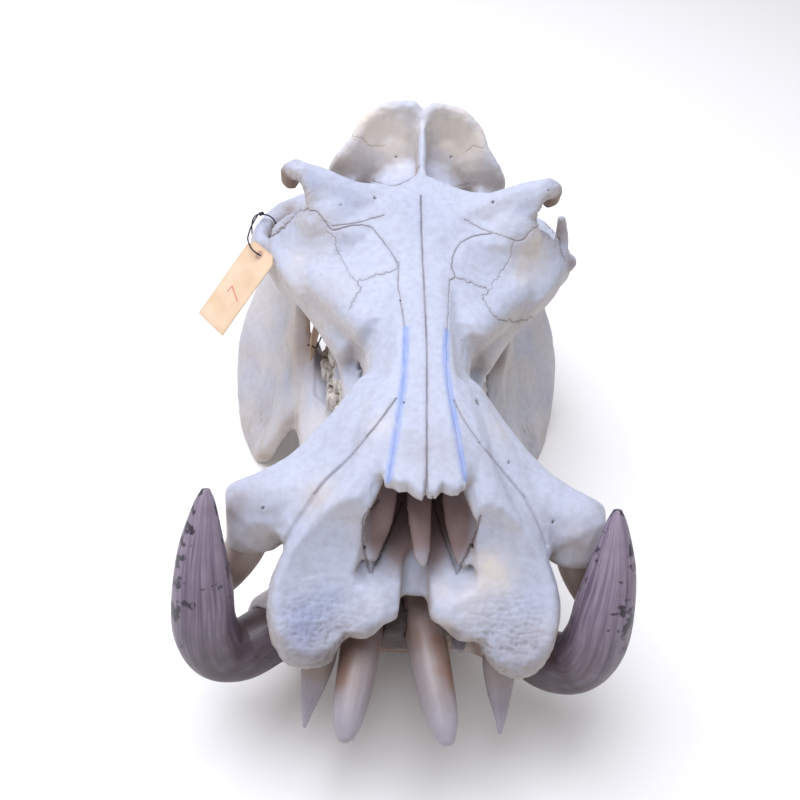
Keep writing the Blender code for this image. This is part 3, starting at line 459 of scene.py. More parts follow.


# Cranium: one fused bone, weathered almost white where the sky lights it. Its joints show as dark, wandering
# lines, the front of each premaxilla is pebbled where the lip was rooted, and the nose holds brown scrolls,
# painted brown with painted shade inside its opening.

BONE_GRID = 0.0019
JOINT_BANDS = 0.0055, 0.0032  # how near a joint the faces are cut in four, once and then again
SUTURES = (  # points in the picture, sideways wander in its points, half width, depth, darkness
    (((421, 196), (422, 240), (425, 300), (427, 350), (427, 420), (427, 494)), 0.25, 0.0008, 0.0015, 0.85),
    (((399, 262), (398, 285), (402, 310), (404, 326)), 0.35, 0.0006, 0.0011, 0.7),
    (((404, 326), (404, 380), (398, 420), (388, 482)), 0.35, 0.0006, 0.0006, 0.06),
    (((450, 279), (449, 310), (448, 330)), 0.35, 0.0006, 0.0011, 0.7),
    (((448, 330), (448, 380), (455, 420), (467, 484)), 0.35, 0.0006, 0.0006, 0.06),
    (((310, 211), (317, 212), (325, 222), (332, 230), (345, 227), (355, 225), (370, 227), (380, 237),
      (390, 250), (397, 262)), 0.5, 0.0007, 0.0012, 0.8),
    (((397, 262), (396, 268), (380, 274), (365, 279), (357, 281), (360, 288), (353, 300), (349, 309)),
     1.8, 0.0006, 0.0010, 0.75),
    (((326, 231), (335, 238), (337, 250), (345, 265), (350, 275), (357, 281)), 1.9, 0.0005, 0.0008, 0.5),
    (((384, 215), (367, 220), (355, 223), (332, 226)), 0.5, 0.0006, 0.0010, 0.65),
    (((465, 219), (477, 226), (492, 232), (505, 236), (520, 241), (530, 232), (539, 225)),
     1.0, 0.0006, 0.0010, 0.65),
    (((492, 233), (475, 236), (462, 242), (455, 252), (452, 265), (455, 276), (450, 280)),
     0.5, 0.0007, 0.0012, 0.8),
    (((515, 241), (512, 255), (502, 270), (495, 282), (489, 290)), 1.9, 0.0005, 0.0008, 0.5),
    (((455, 277), (470, 282), (482, 286), (489, 290), (484, 297), (492, 312), (500, 319), (520, 321),
      (537, 315)), 1.4, 0.0006, 0.0010, 0.8),
    (((396, 398), (383, 416), (376, 425), (367, 435)), 0.15, 0.0009, 0.0022, 0.65),
    (((367, 435), (345, 460), (325, 480), (314, 494)), 0.15, 0.0014, 0.0026, 0.38),
    (((455, 400), (463, 416), (472, 430), (480, 441)), 0.15, 0.0009, 0.0022, 0.65),
    (((480, 441), (487, 450), (503, 470), (526, 498)), 0.15, 0.0014, 0.0026, 0.38),
    (((314, 494), (305, 508), (290, 530), (277, 555)), 0.3, 0.0022, 0.0020, 0.25),
    (((526, 498), (538, 520), (547, 545)), 0.3, 0.0022, 0.0020, 0.25),
    (((268, 238), (283, 227), (296, 215), (309, 210)), 1.8, 0.0013, 0.0018, 0.50),
    (((545, 222), (555, 234), (561, 250), (565, 262)), 1.8, 0.0011, 0.0014, 0.45),
    (((346, 132), (353, 137), (362, 139), (370, 146), (385, 147)), 1.4, 0.0005, 0.0006, 0.4),
    (((372, 181), (385, 184), (397, 185), (412, 177), (420, 166)), 0.5, 0.0006, 0.0010, 0.55),
    (((430, 172), (438, 180), (452, 186), (470, 184)), 0.5, 0.0005, 0.0007, 0.25),
    (((466, 152), (474, 147), (483, 148)), 1.2, 0.0005, 0.0006, 0.3),
    (((378, 500), (366, 515), (363, 530), (366, 560), (370, 572)), 0.8, 0.0012, 0.0010, 0.75),
    (((402, 502), (394, 522), (384, 545), (372, 572)), 0.6, 0.0012, 0.0010, 0.8),
    (((481, 517), (472, 540), (466, 556), (457, 573)), 0.8, 0.0014, 0.0010, 0.95),
    (((433, 498), (440, 525), (450, 552), (457, 573)), 0.6, 0.0012, 0.0010, 0.75),
)
CHALK_LINES = (  # points in the picture along the two furrows that hold a bluish bloom
    ((406, 328), (405, 360), (403, 385), (398, 420), (392, 455), (388, 480)),
    ((447, 330), (446, 360), (449, 385), (455, 420), (461, 455), (466, 480)),
)
CHALK_WIDTH, FURROW = 0.0042, 0.0006
PITS = (  # a point in the picture, radius, depth
    (375, 198, 0.0017, 0.004), (493, 202, 0.0015, 0.004), (451, 157, 0.0013, 0.002),
    (478, 402, 0.0026, 0.005), (341, 205, 0.0010, 0.002), (548, 190, 0.0011, 0.002),
    (400, 300, 0.0009, 0.002), (509, 462, 0.0012, 0.002), (263, 508, 0.0012, 0.003),
    (404, 402, 0.0009, 0.002), (396, 157, 0.0012, 0.002), (462, 340, 0.0009, 0.002),
    (359, 366, 0.0040, 0.009), (361, 373, 0.0046, 0.011), (553, 522, 0.0012, 0.003),
    (471, 546, 0.0022, 0.004), (365, 548, 0.0016, 0.003),
)
SHADED = (  # a point in the picture, reach and strength of painted shade there
    (380, 540, 0.014, 0.50), (384, 570, 0.014, 0.30), (390, 600, 0.012, 0.20), (455, 632, 0.008, 0.45),
    (370, 628, 0.008, 0.30), (470, 540, 0.012, 0.25), (250, 500, 0.024, 0.14), (427, 230, 0.050, 0.05),
    (330, 440, 0.030, 0.07), (330, 290, 0.030, 0.10), (415, 592, 0.012, 0.30),
)
NASAL_TIPS = (  # x and how far back the front edge of the nasal bones is broken away there
    (-0.046, 0.004), (-0.038, 0.000), (-0.031, 0.005), (-0.025, 0.001), (-0.017, 0.006), (-0.010, 0.001),
    (-0.003, 0.000), (0.000, 0.009), (0.003, 0.002), (0.010, 0.000), (0.016, 0.008), (0.024, 0.001),
    (0.031, -0.001), (0.036, 0.005), (0.041, 0.000), (0.046, 0.003),
)
BROWN = (  # a point in the picture, reach and strength of a stain there
    (286, 181, 0.016, 1.50), (292, 187, 0.010, 0.90), (557, 200, 0.014, 1.50), (549, 206, 0.009, 0.90),
    (290, 212, 0.020, 0.70), (561, 230, 0.014, 0.70), (572, 262, 0.012, 0.60), (262, 251, 0.012, 0.60),
    (340, 166, 0.014, 0.35), (236, 500, 0.014, 0.30), (232, 512, 0.010, 0.40), (250, 505, 0.026, 0.16),
    (256, 548, 0.022, 0.30), (577, 545, 0.022, 0.36), (604, 512, 0.014, 0.25), (312, 500, 0.016, 0.25),
    (360, 440, 0.014, 0.16), (541, 520, 0.016, 0.22), (430, 600, 0.010, 0.25), (412, 450, 0.028, 0.14),
    (446, 450, 0.028, 0.14), (300, 645, 0.018, 0.26), (325, 657, 0.015, 0.20), (520, 652, 0.020, 0.16),
    (541, 632, 0.014, 0.18), (330, 225, 0.020, 0.10),
)
CREAM_AND_LIGHT = (  # the same for places that kept the warm colour of covered bone, and for painted light that brightens the bowls behind the brows
    (535, 250, 0.026, 0.70), (520, 275, 0.016, 0.35), (388, 135, 0.036, 1.10), (345, 158, 0.020, 0.60),
    (365, 120, 0.026, 0.90), (470, 150, 0.028, 0.90), (450, 128, 0.034, 1.10), (495, 575, 0.020, 0.70),
    (487, 560, 0.014, 0.50), (322, 240, 0.020, 0.20), (322, 495, 0.020, 0.35), (380, 425, 0.014, 0.30),
    (470, 600, 0.018, 0.30), (297, 262, 0.020, 0.25), (375, 600, 0.012, 0.15), (235, 540, 0.014, 0.35),
    (590, 545, 0.020, 0.30), (440, 590, 0.012, 0.30), (330, 290, 0.030, 0.20), (500, 430, 0.020, 0.20),
)
BLUE_SHADE_AND_SKYLIGHT = (  # and for painted bluish shade on the lip lobes and beside the nose, and painted bluish skylight on the brows
    (305, 620, 0.020, 0.40), (330, 600, 0.016, 0.20), (310, 180, 0.012, 0.24), (345, 195, 0.018, 0.15),
    (425, 210, 0.030, 0.12), (530, 200, 0.018, 0.14), (360, 540, 0.018, 0.12), (530, 600, 0.018, 0.10),
    (300, 640, 0.014, 0.15),
)
LIP_ROOTS = (0.092, 0.030, 0.178), 0.062  # where each premaxilla is roughest, and how far its pebbles reach
EYE_EDGES = (  # the knobbly lower and upper rims of the left eye socket; the right ones mirror them
    ((0.112, 0.476, 0.357), (0.134, 0.496, 0.353), (0.157, 0.505, 0.340), (0.178, 0.505, 0.320),
     (0.187, 0.498, 0.296)),
    ((0.154, 0.525, 0.405), (0.147, 0.505, 0.389), (0.136, 0.494, 0.370), (0.118, 0.482, 0.354)),
)
CREST_EDGE = ((0.000, 0.656, 0.412), (0.034, 0.668, 0.418), (0.064, 0.664, 0.409), (0.083, 0.654, 0.392),
              (0.093, 0.640, 0.374), (0.112, 0.630, 0.352), (0.122, 0.630, 0.324))  # the neck fan's rim
EYE_KNOBS, CREST_KNOBS = 0.0085, 0.011  # how far the knobs of those rims reach
NOSE_OPENING = 0.268, 0.052, 0.046  # height of its middle, half width, half height
BROWN_POINT = (0.163, 0.548, 0.361), 0.020  # the stained hook behind each eye socket, and its reach
FULL_HOLLOW = 0.0006  # depth below the surface round it at which a hollow gets the most painted shade
TUCKED = 0.0024  # how far the bone is drawn in where separate crowns stand
UPPER_ROW = (0.044, 0.218, 0.0), (0.113, 0.447, 0.2035)  # opposite corners of the box that holds those crowns


def table_of(items, key, kind, width):
    rows = np.empty(len(items) * width, kind)
    items.foreach_get(key, rows)
    return rows.reshape(-1, width)


def coordinates(mesh):
    return table_of(mesh.vertices, "co", np.float32, 3).astype(float)


def normals(mesh):
    return table_of(mesh.vertex_normals, "vector", np.float32, 3).astype(float)


def edge_pairs(mesh):
    return table_of(mesh.edges, "vertices", np.int32, 2).T


def move_to(mesh, rows):
    mesh.vertices.foreach_set("co", np.asarray(rows, np.float32).ravel())
    mesh.update()


def neighbour_mean(rows, pairs):
    a, b = pairs
    count = len(rows)
    share = np.maximum(np.bincount(a, minlength=count) + np.bincount(b, minlength=count), 1)
    return np.stack([(np.bincount(a, rows[b, i], count) + np.bincount(b, rows[a, i], count)) / share
                     for i in range(rows.shape[1])], axis=1)


def evened(mesh, passes):
    """Smooths the facets away without shrinking the whole, a step in and a step out each time."""
    rows, pairs = coordinates(mesh), edge_pairs(mesh)
    for _ in range(passes):
        for step in (0.60, -0.63):
            rows = rows + step * (neighbour_mean(rows, pairs) - rows)
    move_to(mesh, rows)


def fine_copy(node, name, grid, passes):
    """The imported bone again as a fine, even mesh."""
    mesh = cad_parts[node].data.copy()
    bm = bmesh.new()
    bm.from_mesh(mesh)
    bmesh.ops.remove_doubles(bm, verts=bm.verts, dist=1e-6)
    bm.to_mesh(mesh)
    bm.free()
    rough = place("rough", mesh, None)
    fuse = rough.modifiers.new("even", "REMESH")
    fuse.mode = "VOXEL"
    fuse.voxel_size = grid
    graph = bpy.context.evaluated_depsgraph_get()
    fine = bpy.data.meshes.new_from_object(rough.evaluated_get(graph))
    bpy.data.objects.remove(rough)
    fine.name = name
    fine.materials.clear()
    evened(fine, passes)
    fine.shade_smooth()
    return place(name, fine)


def halved(mesh, near):
    """Cuts every face in four where both ends of its edges are near something that needs finer points."""
    bm = bmesh.new()
    bm.from_mesh(mesh)
    edges = [e for e in bm.edges if near[e.verts[0].index] and near[e.verts[1].index]]
    bmesh.ops.subdivide_edges(bm, edges=edges, cuts=1, use_grid_fill=True)
    bm.to_mesh(mesh)
    bm.free()
    mesh.shade_smooth()


def nearest(points, samples):
    """For each point the number of the nearest sample and how far it is."""
    tree = KDTree(len(samples))
    for i, p in enumerate(samples):
        tree.insert(p, i)
    tree.balance()
    found = [tree.find(p)[1:] for p in points]
    return np.array([f[0] for f in found]), np.array([f[1] for f in found])


def on_surface(tree, u, v):
    hit = tree.ray_cast(camera_place, sight(u, v))[0]
    return None if hit is None else np.array(hit)


def traced(tree, dots, wander, seed):
    """A line over the bone under a line in the picture, with a sideways wander, as points 0.4 mm apart."""
    pace = 0.6
    line, _ = evenly(through(dots, 20), pace)
    ahead_of = unit(np.gradient(line, axis=0))
    aside = np.stack([-ahead_of[:, 1], ahead_of[:, 0]], axis=1)
    run = np.stack([np.arange(len(line)) * pace, 0 * line[:, 0], 0 * line[:, 0]], axis=1)
    swing = 0.6 * value_noise(run, 6.0, seed) + 0.9 * value_noise(run, 1.9, seed + 1)
    line = line + aside * (wander * swing)[:, None]
    hits = [on_surface(tree, u, v) for u, v in line]
    made = []
    for a, b in zip(hits, hits[1:]):
        if a is None or b is None or np.linalg.norm(b - a) > 0.010:
            continue
        count = max(2, int(np.linalg.norm(b - a) / 0.0004))
        made += [a + (b - a) * t for t in np.linspace(0, 1, count)]
    return made


def fall(distance, reach, power=2.0):
    return np.exp(-(distance / reach) ** power)


def ramp(value, low, high):
    t = np.clip((value - low) / (high - low), 0, 1)
    return t * t * (3 - 2 * t)


def folded(points):
    """The same points with both sides of the skull laid on the left one."""
    return np.column_stack([np.abs(points[:, 0]), points[:, 1], points[:, 2]])


def bumpy(points, *layers):
    """The sum of layers of smooth random lift, each with its height, the size of its lumps and its seed."""
    return sum(height * value_noise(points, size, seed) for height, size, seed in layers)


def pebbles(points, size, seed):
    """Low rounded lumps with creases between them, from 0 to 1."""
    first = 1 - np.abs(value_noise(points, size, seed))
    second = 1 - np.abs(value_noise(points, size * 0.55, seed + 1))
    return 0.65 * first ** 2 + 0.35 * second ** 2


def tucked(lift, points, box):
    """The same lift, but drawn in wherever a point lies inside a box."""
    low, high = box
    return np.where(((points > low) & (points < high)).all(axis=1), -TUCKED, lift)


def hollows(mesh, rows):
    """From 0 on a flat or a ridge to 1 in a furrow a few millimetres wide."""
    wide, pairs = rows, edge_pairs(mesh)
    for _ in range(6):
        wide = neighbour_mean(wide, pairs)
    return np.clip(np.einsum("ij,ij->i", wide - rows, normals(mesh)) / FULL_HOLLOW, 0, 1)


cranium = fine_copy("cranium", "cranium_bone", BONE_GRID, passes=26)
bone = cranium.data
surface = BVHTree.FromObject(cranium, bpy.context.evaluated_depsgraph_get())
joints, facts = [], []
for seed, (dots, wander, half, depth, dark) in enumerate(SUTURES):
    line = traced(surface, dots, wander, 10 + 3 * seed)
    joints += line
    facts += [(half, depth, dark)] * len(line)
facts = np.array(facts)
chalk = [p for seed, dots in enumerate(CHALK_LINES) for p in traced(surface, dots, 0.4, 90 + seed)]
pits = [(on_surface(surface, u, v), radius, depth) for u, v, radius, depth in PITS]
pits = [pit for pit in pits if pit[0] is not None]
for band in JOINT_BANDS:
    _, far = nearest(coordinates(bone), joints)
    halved(bone, far < band)

rows, out = coordinates(bone), normals(bone)
plan = folded(rows - shift)
aside = (rows - shift)[:, 0]  # below 0 on the animal's right
x, y, z = plan.T
index, far = nearest(rows, joints)
half, depth, dark = facts[index].T
_, chalk_far = nearest(rows, chalk)
lift = bumpy(rows, (0.0009, 0.050, 1), (0.0003, 0.020, 2), (0.00010, 0.007, 3))
lobe = fall(np.linalg.norm(plan - LIP_ROOTS[0], axis=1), LIP_ROOTS[1], 3)
rim = fall(np.minimum(*(to_segments(plan, np.array(line)) for line in EYE_EDGES)), EYE_KNOBS)
crest = fall(to_segments(plan, np.array(CREST_EDGE)), CREST_KNOBS)
knobs = pebbles(rows, 0.0046, 20) - 0.5
wrinkles = 1 - np.abs(value_noise(rows * (0.5, 1, 1), 0.0040, 23))
lift += lobe * (0.0015 * knobs + 0.0007 * wrinkles ** 3 + 0.0005 * value_noise(rows, 0.0024, 24))
lift += lobe * 0.0016 * value_noise(rows, 0.014, 28)
lift += rim * 0.0034 * (pebbles(rows, 0.0050, 24) - 0.4) + crest * 0.0011 * (pebbles(rows, 0.0080, 26) - 0.4)
lift -= depth * fall(far, half) + 0.25 * depth * fall(far, 3.2 * half)
lift -= FURROW * fall(chalk_far, CHALK_WIDTH)
# Each pit is also painted dark inside, as painted shade.
pit_shade = np.zeros(len(rows))
for middle, radius, deep in pits:
    near = np.linalg.norm(rows - middle, axis=1)
    lift -= deep * fall(near, radius, 3)
    pit_shade = np.maximum(pit_shade, fall(near, radius * 1.15, 4))
tips = ramp(y, 0.135, 0.100) * ramp(z, 0.300, 0.308) * (x < 0.050)  # the front edge of the nasal bones
moved = rows + out * tucked(lift, plan, UPPER_ROW)[:, None]
moved[:, 1] += tips * np.interp(aside, *np.array(NASAL_TIPS).T)
move_to(bone, moved)

rows = coordinates(bone)
hollow = hollows(bone, rows)
nose_height, nose_wide, nose_high = NOSE_OPENING
cave = np.hypot(x / nose_wide, (z - nose_height) / nose_high)
# The opening of the nose is painted brown for its scrolls and darker as painted shade of the cavity.
nose = ramp(cave, 1.15, 0.90) * ramp(y, 0.060, 0.100) * ramp(z, 0.318, 0.296)


def spot(points, middle, reach):
    return fall(np.linalg.norm(points - np.array(middle), axis=1), reach)


def weathered_and_skylit(mesh, points, seed):
    """High where a face looks at the sky, with cloudy borders: the cool tint of weathered bone and painted
    skylight.
    """
    return ramp(normals(mesh)[:, 2] + 0.25 * value_noise(points, 0.030, seed), -0.05, 0.80)


def spots_of(table, tree, points):
    """How strongly each point of a bone is tinted by the spots of a table."""
    total = np.zeros(len(points))
    for u, v, reach, strength in table:
        middle = on_surface(tree, u, v)
        if middle is not None:
            total += strength * spot(points, middle, reach)
    return total


faded = 0.75 + bumpy(rows, (0.45, 0.018, 43))
blotchy = 0.95 + bumpy(rows, (0.30, 0.011, 30), (0.20, 0.0045, 31))
# Brown: the listed stains, browner towards the bottom, on the eye rims, beside the joints and on each hook.
stain_and_brown_shade = spots_of(BROWN, surface, rows) + 0.16 * ramp(z, 0.230, 0.195)
stain_and_brown_shade += 0.12 * rim + 0.22 * fall(far, 0.0035) * dark
stain_and_brown_shade += 1.1 * spot(plan, *BROWN_POINT)
# Dark brown: dirt in the joints, and painted shade in the pits and hollows, over the lips' roots (darker on
# the animal's right) and at the shaded spots.
dirt_and_shade = 0.85 * dark * faded * fall(far, half * 1.05) + pit_shade + hollow * (0.10 + 0.26 * (lobe + rim))
dirt_and_shade += lobe ** 3 * np.where(aside < 0, 0.30, 0.20) + spots_of(SHADED, surface, rows)
streak = 0.95 + bumpy(rows * (1, 0.30, 1), (0.30, 0.0028, 40)) + bumpy(rows, (0.20, 0.010, 41))
# Blue: the chalky bloom in the two furrows, and the painted bluish shade and skylight of the spots.
chalk_and_painted_blue = fall(chalk_far, CHALK_WIDTH, 4) * streak * 0.80 + spots_of(BLUE_SHADE_AND_SKYLIGHT, surface, rows)
paint(bone, "tone", stain_and_brown_shade * blotchy, dirt_and_shade, chalk_and_painted_blue)
paint(bone, "place", nose, spots_of(CREAM_AND_LIGHT, surface, rows) * blotchy, weathered_and_skylit(bone, rows, 34))

# Macerated bone, bleached by the sun: chalky and matt, cooler where weathered and where painted skylight
# falls on faces that look up, cream where it stayed covered and where painted light brightens the bowls
# behind the brows, with fine open pores about 1.3 mm apart, brown dirt in its joints, and dark and bluish
# painted shade in its hollows, pits and holes, over the lips' roots, in the nose and inside the jaws.
dry_bone, shader, tree = start_material("sun_bleached_bone", 0.60)
where = add(tree, "ShaderNodeTexCoord").outputs["Object"]
stained_and_brown_shaded, dirt_and_shade_share, chalk_bloom_and_painted_blue = painted(tree, "tone")
nose_brown_and_shade, cream_and_light, bleached_and_skylit = painted(tree, "place")
clouds = add(tree, "ShaderNodeTexNoise", {"Scale": of_size(91), "Detail": 4.0, "Roughness": 0.5},
             {"Vector": where}).outputs["Fac"]
mottle = add(tree, "ShaderNodeTexNoise", {"Scale": of_size(7.69), "Detail": 5.0, "Roughness": 0.60},
             {"Vector": where}).outputs["Fac"]
grain = add(tree, "ShaderNodeTexNoise", {"Scale": of_size(1.613), "Detail": 3.0},
            {"Vector": where}).outputs["Fac"]
pores = add(tree, "ShaderNodeTexVoronoi", {"Scale": of_size(1.333)}, {"Vector": where}).outputs["Distance"]
body = add(tree, "ShaderNodeValToRGB", {"ends": ((0.30, "C5BEBD"), (0.70, "D1CCCC"))}, {"Fac": clouds})
pale = add(tree, "ShaderNodeValToRGB", {"ends": ((0.30, "E2DDD8"), (0.60, "FFFFFF"))}, {"Fac": mottle})
coat = tinted(tree, body.outputs["Color"], "BDC5DA", bleached_and_skylit, 0.90)
coat = add(tree, "ShaderNodeMix", {"data_type": "RGBA", "blend_type": "MULTIPLY", 0: 0.50},
           {6: coat, 7: pale.outputs["Color"]}).outputs[2]
open_pore = add(tree, "ShaderNodeMath", {"operation": "LESS_THAN", 1: 0.16}, {0: pores}).outputs[0]
for colour, share, strength in (("EADFD2", cream_and_light, 0.85), ("7B5C42", stained_and_brown_shaded, 0.85),
                                ("8099D8", chalk_bloom_and_painted_blue, 0.80), ("7C5E54", nose_brown_and_shade, 0.88),
                                ("40322F", dirt_and_shade_share, 0.90), ("7A6A5C", open_pore, 0.16)):
    coat = tinted(tree, coat, colour, share, strength)
fine = add(tree, "ShaderNodeBump", {"Strength": 0.30, "Distance": 0.0004}, {"Height": grain})
relief = add(tree, "ShaderNodeBump", {"Strength": 0.25, "Distance": 0.0010},
             {"Height": mottle, "Normal": fine.outputs["Normal"]})
dress(tree, shader, coat, relief)
bone.materials.append(dry_bone)
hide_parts("cranium")


# Upper cheek teeth: two rows of six, from the second premolar back. Each crown is two or four blunt cones of
# ribbed enamel folded together, brown in the folds, and set in the bone of the upper jaw.

BITE = 0.1840  # height of the face that bites
JAW = (-0.0075, 0, 0)  # how far the lower jaw has slid under the upper one
UPPER_ROOT = 0.206
UPPER_CHEEK_TEETH = (  # y, x, half length, half width
    (0.236, 0.059, 0.0135, 0.0100), (0.268, 0.063, 0.0150, 0.0125), (0.298, 0.067, 0.0130, 0.0145),
    (0.332, 0.073, 0.0190, 0.0175), (0.376, 0.081, 0.0225, 0.0190), (0.422, 0.089, 0.0210, 0.0180),
)
LEVELS, AROUND, CAP_RINGS = 16, 84, 12  # rings up a crown, points in each, and rings over its biting face


def crown(x, y, half_length, half_width, bite, root, side, seed):
    """One tooth from its root to the face that bites, and a value that is high down in its folds."""
    angle = 2 * math.pi * np.arange(AROUND) / AROUND
    flank = np.interp(np.linspace(0, 1, LEVELS), (0, 0.30, 0.85, 1.0), (0.86, 0.98, 0.98, 0.88))
    share = np.concatenate([flank, flank[-1] * np.linspace(1, 0.03, CAP_RINGS + 1)[1:]])
    height = np.concatenate([np.linspace(root, bite, LEVELS), np.full(CAP_RINGS, bite)])
    lobes = 1 - 0.30 * (1 - np.abs(np.sin(angle))) ** 1.6
    ribs = 0.05 * np.sin(9 * angle + seed) + 0.04 * np.sin(15 * angle + 2.3 * seed)
    width = share[:, None] * (lobes + ribs * (share[:, None] / 0.98) ** 3)
    points = np.stack([x + half_width * width * np.cos(angle), y + half_length * width * np.sin(angle),
                       np.repeat(height[:, None], AROUND, axis=1)], axis=-1).reshape(-1, 3)
    middle = np.array((x, y, (bite + root) / 2))
    knobs = bumpy(points, (1, 0.0050, seed), (0.5, 0.0025, seed + 9))
    points = points + 0.0009 * knobs[:, None] * unit(points - middle)
    into = np.sign(root - bite)
    cusps = 0.5 + 0.5 * np.cos((points[:, 1] - y) / half_length * 2 * math.pi) * np.cos(
        (points[:, 0] - x) / half_width * math.pi)
    flat = np.arange(len(points)) >= (LEVELS - 1) * AROUND
    points[flat, 2] = bite + into * (0.0004 + 0.0020 * cusps[flat])
    points[~flat, 2] = into * np.maximum(into * points[~flat, 2], into * bite + 0.0006)
    fold = np.tile(np.clip((0.86 - lobes - ribs) / 0.14, 0, 1), LEVELS + CAP_RINGS)
    fold = np.clip(0.75 * fold + 0.35 * (-knobs) + 0.45 * np.where(flat, cusps, 0), 0, 1)
    return points * (side, 1, 1), fold


def cheek_row(name, table, bite, root, side, offset):
    points, faces, folds, first = [], [], [], 0
    for number, (y, x, half_length, half_width) in enumerate(table):
        seed = 7 * number + (3 if side > 0 else 0)
        rows, fold = crown(x, y, half_length, half_width, bite, root, side, seed)
        ends = rows[:AROUND].mean(axis=0), rows[-AROUND:].mean(axis=0)
        rows = np.vstack([rows, ends])
        points.append(rows + shift + offset)
        folds += [fold, (0, fold[-1])]
        faces += [tuple(i + first for i in face) for face in skin(LEVELS + CAP_RINGS, AROUND, False)]
        first += len(rows)
    mesh = mesh_of(name, np.vstack(points), faces)
    paint(mesh, "folds", np.concatenate(folds))
    mesh.materials.append(ribbed_enamel)
    made = place(name, mesh)


# Enamel worn by grit: satin, off-white on the cones and tea brown down in the folds and hollows.
ribbed_enamel, shader, tree = start_material("ribbed_enamel", 0.42)
where = add(tree, "ShaderNodeTexCoord").outputs["Object"]
spots = add(tree, "ShaderNodeTexNoise", {"Scale": of_size(3.85), "Detail": 4.0},
            {"Vector": where}).outputs["Fac"]
wear = add(tree, "ShaderNodeValToRGB", {"ends": ((0.35, "BFB6AC"), (0.62, "E6E2DC"))}, {"Fac": spots})
relief = add(tree, "ShaderNodeBump", {"Strength": 0.5, "Distance": 0.0004}, {"Height": spots})
dress(tree, shader, tinted(tree, wear.outputs["Color"], "57422F", painted(tree, "folds")[0]), relief)
SIDES = ("right", -1), ("left", 1)
for side_name, side in SIDES:
    cheek_row(f"upper_cheek_teeth_{side_name}", UPPER_CHEEK_TEETH, BITE, UPPER_ROOT, side, 0)


# Lower jaw: one bone, both halves fused at the chin. It is rougher and browner than the cranium, with muscle
# scars round the great angle, a pitted chin, and the holes for the nerve on its outer face.

JAW_GRID = 0.0022
ANGLE_RIM = ((0.212, 0.395, 0.130), (0.207, 0.410, 0.080), (0.190, 0.440, 0.032), (0.182, 0.500, 0.010),
             (0.176, 0.570, 0.030), (0.170, 0.620, 0.100), (0.160, 0.632, 0.170))
SCAR_REACH = 0.026
JAW_BROWN_AND_SHADE = (  # a point in the picture, reach and strength of a brown tint there, partly stain and partly painted shade
    (318, 345, 0.016, 0.75), (324, 366, 0.016, 0.60), (300, 350, 0.036, 0.50), (497, 360, 0.022, 0.55),
    (262, 455, 0.016, 0.50), (285, 420, 0.020, 0.20),
)
NERVE_HOLES = ((0.232, 0.128, 0.0040), (0.208, 0.104, 0.0026), (0.262, 0.110, 0.0024))  # y, z, radius
INNER_FACE = 0.070  # nearer the middle than this the jaw has no nerve holes
LOWER_ROW = (0.047, 0.218, 0.158), (0.113, 0.456, 0.190)  # opposite corners of the box round the lower crowns

jaw = fine_copy("mandible", "mandible_bone", JAW_GRID, passes=22)
jaw_bone = jaw.data
jaw_surface = BVHTree.FromObject(jaw, bpy.context.evaluated_depsgraph_get())
rows, out = coordinates(jaw_bone), normals(jaw_bone)
plan = folded(rows - shift - JAW)
x, y, z = plan.T
scar = fall(to_segments(plan, np.array(ANGLE_RIM)), SCAR_REACH, 3) * ramp(y, 0.36, 0.42)
chin = ramp(y, 0.170, 0.110) * ramp(x, 0.120, 0.080)  # the front of the jaw, between the tusks
lift = bumpy(rows, (0.0013, 0.055, 51), (0.0006, 0.020, 52), (0.0002, 0.008, 53))
ridges = bumpy(rows * (1, 1, 0.35), (1, 0.0085, 54), (0.5, 0.004, 55))
lift += 0.0010 * scar * ridges + chin * 0.0020 * (pebbles(rows, 0.0085, 56) - 0.45)
# Each nerve hole is also painted dark inside, as painted shade.
holes = np.zeros(len(rows))
for hole_y, hole_z, radius in NERVE_HOLES:
    near = np.hypot(y - hole_y, z - hole_z) + 10 * (x < INNER_FACE)
    lift -= 2.2 * radius * fall(near, radius, 3)
    holes = np.maximum(holes, fall(near, radius * 1.15, 4))
off_floor = ramp(rows[:, 2], 0.0004, 0.006)  # the faces that rest on the floor stay flat
move_to(jaw_bone, rows + out * (tucked(lift, plan, LOWER_ROW) * off_floor)[:, None])

rows = coordinates(jaw_bone)
hollow = hollows(jaw_bone, rows)
inside = ramp(x, 0.080, 0.052) * ramp(y, 0.060, 0.120)  # the inner faces, behind the incisors, painted brown and dark as painted shade
between = ramp(x, 0.062, 0.040) * ramp(y, 0.135, 0.115) * ramp(z, 0.070, 0.100)  # round the incisors' roots, darkened as painted shade between the teeth
# Brown: on the inner faces as painted shade; on the chin, near the floor, round the angle and at the front;
# and the listed patches, partly stain and partly painted shade.
stain_and_brown_shade = 0.06 + 0.60 * inside + 0.55 * chin + 0.30 * fall(z, 0.030) + 0.14 * scar
stain_and_brown_shade += 0.45 * ramp(y, 0.105, 0.070) * ramp(x, 0.13, 0.09)
stain_and_brown_shade = stain_and_brown_shade * (0.75 + bumpy(rows, (0.5, 0.014, 57))) + spots_of(JAW_BROWN_AND_SHADE, jaw_surface, rows)
# Painted shade: in the nerve holes, in hollows and on the chin, on the inner faces and round the incisors'
# roots.
dirt_and_shade = holes + hollow * (0.30 + 0.35 * chin) + 0.55 * inside * ramp(y, 0.200, 0.130) + between
paint(jaw_bone, "tone", stain_and_brown_shade, dirt_and_shade, 0 * stain_and_brown_shade)
# The inner faces also take the nose's brown, as painted shade.
paint(jaw_bone, "place", 0.35 * inside, 0.30 + bumpy(rows, (0.35, 0.040, 58)), weathered_and_skylit(jaw_bone, rows, 59))
jaw_bone.materials.append(dry_bone)
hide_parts("mandible")


# Lower cheek teeth: two rows of six set in the bone of the lower jaw, of the same ribbed enamel. They are
# narrower than the upper ones, and lie a hair's breadth below them all along the bite.

